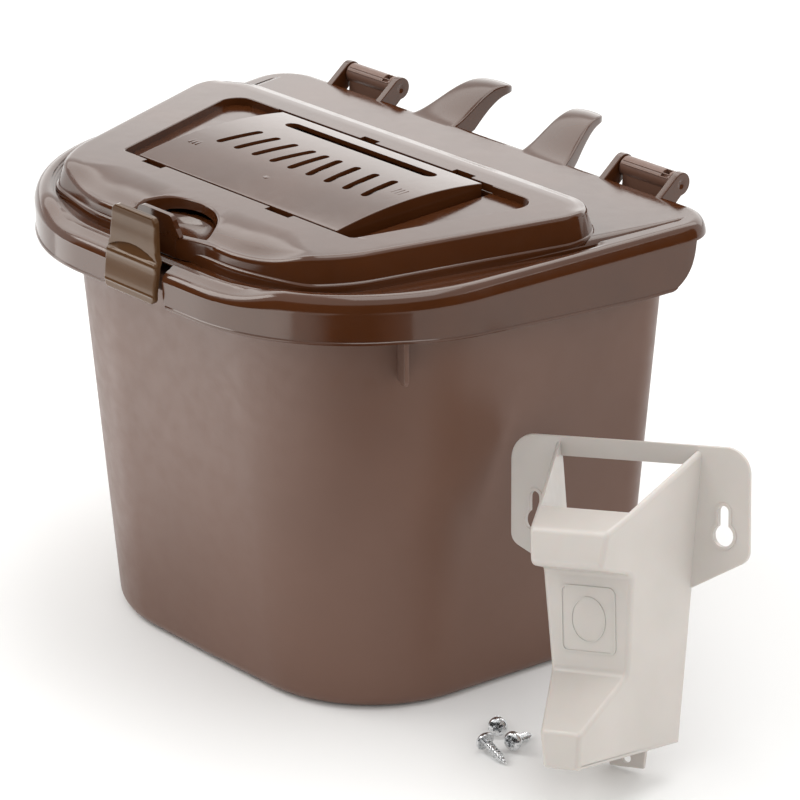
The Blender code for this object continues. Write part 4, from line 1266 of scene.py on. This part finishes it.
def gloss_brown(name="gloss brown plastic", low=(0.052, 0.0150, 0.0042), high=(0.068, 0.0205, 0.0064),
                specular=0.5, tint=(1.0, 0.985, 0.95)):
    """Deep brown pearl plastic with a polished skin that ripples very slightly."""
    return surface(name, ((22.0, 3.0), low, high), ((160.0, 5.0), 0.10, 0.17),
                   (((90.0, 2.0), 0.10, 0.0004), ((2600.0, 2.0), 0.05, 0.00003)),
                   (("IOR", 1.52), ("Specular IOR Level", specular), ("Specular Tint", (*tint, 1.0)),
                    ("Coat Weight", 0.08), ("Coat Roughness", 0.05)))


def grained_brown():
    """Spark-eroded channel floor: dark, with fine glinting grains."""
    grain = (900.0, 4.0, 0.7)
    return surface("grained brown plastic", (grain, (0.020, 0.010, 0.006), (0.075, 0.040, 0.024)),
                   ((1400.0, 3.0), 0.22, 0.55), ((grain, 0.9, 0.0005),))


def satin_brown():
    """Satin moulded wall: a soft sheen over a fine even texture."""
    flow = (30.0, 2.0, 0.5, (1.0, 1.0, 0.25))
    return surface("satin brown plastic", ((9.0, 4.0), (0.116, 0.054, 0.033), (0.140, 0.068, 0.044)),
                   ((140.0, 6.0), 0.36, 0.46), (((1500.0, 3.0), 0.16, 0.00008), (flow, 0.06, 0.0006)),
                   (("Sheen Weight", 0.06), ("Sheen Roughness", 0.4)))


def ivory():
    """Warm ivory plastic with faint clouding and a soft gloss."""
    return surface("ivory plastic", ((28.0, 4.0), (0.50, 0.465, 0.43), (0.55, 0.51, 0.475)),
                   ((180.0, 5.0), 0.28, 0.40), (((900.0, 3.0), 0.10, 0.00006),),
                   (("Subsurface Weight", 0.12), ("Subsurface Scale", 0.003)))


def zinc():
    """Bright zinc plate: clean metal with small tarnish spots and turned scratches."""
    spots = ((700.0, 5.0, 0.65), (0.34, 0.36, 0.38), (0.80, 0.81, 0.82), 0.30, 0.52)
    return surface("bright zinc", spots, ((1800.0, 4.0), 0.12, 0.34), (((2400.0, 3.0), 0.15, 0.00005),),
                   (("Metallic", 1.0),))


def floor_paper():
    return surface("floor paper", ((3.0, 2.0), (0.88, 0.88, 0.875), (0.90, 0.90, 0.895)), None, (),
                   (("Roughness", 0.9), ("Specular IOR Level", 0.2)))


def flag_black():
    n = Nodes("black flag")
    n.shader.inputs["Base Color"].default_value = (0.004, 0.004, 0.004, 1.0)
    n.shader.inputs["Roughness"].default_value = 1.0
    n.shader.inputs["Specular IOR Level"].default_value = 0.0
    return n.material


# ---------------------------------------------------------------- floor, light and camera

VIEW_AZIMUTH = math.radians(47.0)
VIEW_ELEVATION = math.radians(23.37)
VIEW_ROLL = math.radians(-0.04)
CAMERA_AT = Vector((1.1226, -1.0102, 0.7539))
LENS = 166.08
BACK_CARD_AT = 0.47
BACK_CARD_HALF = 0.75
# name, angles from the view, distances from the middle, height, then the glow's name and values
FLOOR_CARDS = (
    ("dark_card_left", -26.0, 0.0, 0.30, 1.5, 0.002, "dark left", -0.20, -0.06, 1.0, 0.02),
    ("dark_card_right", 0.0, 26.0, 0.30, 1.5, 0.002, "dark right", 0.06, 0.42, 0.02, 0.8),
    ("bright_card", -116.0, -27.0, 0.15, 0.9, 0.003, "bright left", -0.32, -0.10, 2.7, 1.1),
)


def view_axes():
    away = Vector((math.sin(VIEW_AZIMUTH) * math.cos(VIEW_ELEVATION),
                   -math.cos(VIEW_AZIMUTH) * math.cos(VIEW_ELEVATION), math.sin(VIEW_ELEVATION)))
    right = Vector((math.cos(VIEW_AZIMUTH), math.sin(VIEW_AZIMUTH), 0.0))
    return away, right, away.cross(right)


def build_camera():
    away, right, up = view_axes()
    data = bpy.data.cameras.new("camera")
    data.sensor_width = 36.0
    data.lens = LENS
    data.clip_start = 0.05
    camera = link(bpy.data.objects.new("camera", data))
    basis = Matrix((right, up, away)).transposed().to_4x4()
    camera.matrix_world = Matrix.Translation(CAMERA_AT) @ basis @ Matrix.Rotation(VIEW_ROLL, 4, "Z")
    bpy.context.scene.camera = camera


def area_light(name, at, target, size, power, colour=(1.0, 1.0, 1.0)):
    data = bpy.data.lights.new(name, "AREA")
    data.shape = "RECTANGLE"
    data.size, data.size_y = size
    data.energy = power
    data.color = colour
    lamp = link(bpy.data.objects.new(name, data))
    lamp.location = at
    lamp.rotation_euler = (Vector(target) - Vector(at)).to_track_quat("-Z", "Y").to_euler()
    return lamp


def build_world():
    world = bpy.data.worlds.new("studio")
    bpy.context.scene.world = world
    world.use_nodes = True
    background = world.node_tree.nodes["Background"]
    background.inputs["Strength"].default_value = 0.98
    background.inputs["Color"].default_value = (1.0, 0.995, 0.985, 1.0)


def card(name, rows, material):
    """Card through rows of two points, seen only in reflections so that it doesn't darken the floor."""
    bm = bmesh.new()
    made = [[bm.verts.new(p) for p in row] for row in rows]
    for a, b in zip(made, made[1:]):
        bm.faces.new((a[0], b[0], b[1], a[1]))
    obj = mesh_object(name, bm)
    obj.data.materials.append(material)
    obj.visible_camera = False
    obj.visible_diffuse = False
    obj.visible_shadow = False
    obj.visible_transmission = False
    return obj


def around(first, last, steps, ends):
    """Rows of a card that runs round the set between two angles from the view.

    Each row's two ends are given as a distance from the middle and a height.
    """
    rows = []
    for i in range(steps + 1):
        angle = VIEW_AZIMUTH - math.pi / 2 + math.radians(first + (last - first) * i / steps)
        rows.append([(r * math.cos(angle), r * math.sin(angle), z) for r, z in ends])
    return rows


def glow(name, direction, start, end, low, high):
    """Light card whose strength changes smoothly with the position along a direction."""
    n = Nodes(name)
    dot = n.add("ShaderNodeVectorMath", operation="DOT_PRODUCT")
    dot.inputs[1].default_value = direction
    n.link(n.place, dot.inputs[0])
    strength = n.grey(dot.outputs["Value"], low, high, start, end, "SMOOTHSTEP")
    n.shader.inputs["Base Color"].default_value = (0.0, 0.0, 0.0, 1.0)
    n.shader.inputs["Specular IOR Level"].default_value = 0.0
    n.shader.inputs["Emission Color"].default_value = (1.0, 0.995, 0.98, 1.0)
    n.link(strength, n.shader.inputs["Emission Strength"])
    return n.material


def back_cards():
    """Upright cards behind the object that its flat tops mirror."""
    right = view_axes()[1]
    behind = Vector((-math.sin(VIEW_AZIMUTH), math.cos(VIEW_AZIMUTH), 0.0)) * BACK_CARD_AT
    slant = Vector((right.x * 0.20, right.y * 0.20, -1.0))
    cards = []
    for name, bottom, top, material in (
            ("back_card_low", 0.21, 0.53, glow("back low", slant, -0.48, -0.34, 1.45, 2.25)),
            ("back_card_high", 0.53, 1.25, glow("back high", (0.0, 0.0, 1.0), 0.53, 0.60, 1.45, 3.3))):
        rows = [[behind + right * side + Vector((0, 0, z)) for z in (bottom, top)]
                for side in (-BACK_CARD_HALF, BACK_CARD_HALF)]
        cards.append(card(name, rows, material))
    return cards


def floor_cards():
    """Two soft dark cards on the floor at the object's near corner, and a bright one to its left."""
    along = (math.cos(VIEW_AZIMUTH), math.sin(VIEW_AZIMUTH), 0.0)
    cards = []
    for name, first, last, inner, outer, z, glow_name, *strength in FLOOR_CARDS:
        rows = around(first, last, 16, ((inner, z), (outer, z)))
        cards.append(card(name, rows, glow(glow_name, along, *strength)))
    return cards


def build_stage():
    bm = bmesh.new()
    bmesh.ops.create_circle(bm, cap_ends=True, segments=96, radius=4.0)
    floor = mesh_object("floor", bm)
    floor.location.z = -0.0002
    floor.data.materials.append(floor_paper())
    wall = card("flag_wall", around(-100.0, 100.0, 24, ((1.5, 0.0), (1.5, 1.1))), flag_black())
    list(back_cards())
    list(floor_cards())
    area_light("key", (-1.3, -0.9, 1.7), (0, 0, 0.12), (1.0, 1.0), 16.0, (1.0, 0.99, 0.97))
    area_light("top", (0.2, 0.3, 2.1), (0, 0, 0.1), (1.4, 1.0), 12.0)
    area_light("right", (1.5, 0.75, 0.9), (0.19, 0, 0.08), (0.7, 0.7), 3.5)
    build_world()
    settings = bpy.context.scene.view_settings
    settings.view_transform = "Standard"
    settings.look = "None"


# ---------------------------------------------------------------- assembly

def main():
    gloss = gloss_brown()
    build_bucket(satin_brown())
    build_lid(gloss, grained_brown())
    build_pins(gloss)
    # The latch is the lid's plastic: this lighter, warmer copy of its brown, with weaker specular, is
    # painted light and reflection that the latch catches
    build_latch(gloss_brown("latch brown plastic painted lighter", (0.056, 0.025, 0.010), (0.082, 0.038, 0.016), 0.28,
                            (1.0, 0.86, 0.68)))
    build_insert(gloss)
    build_bracket(ivory())
    build_screws(zinc())
    build_stage()
    build_camera()


main()
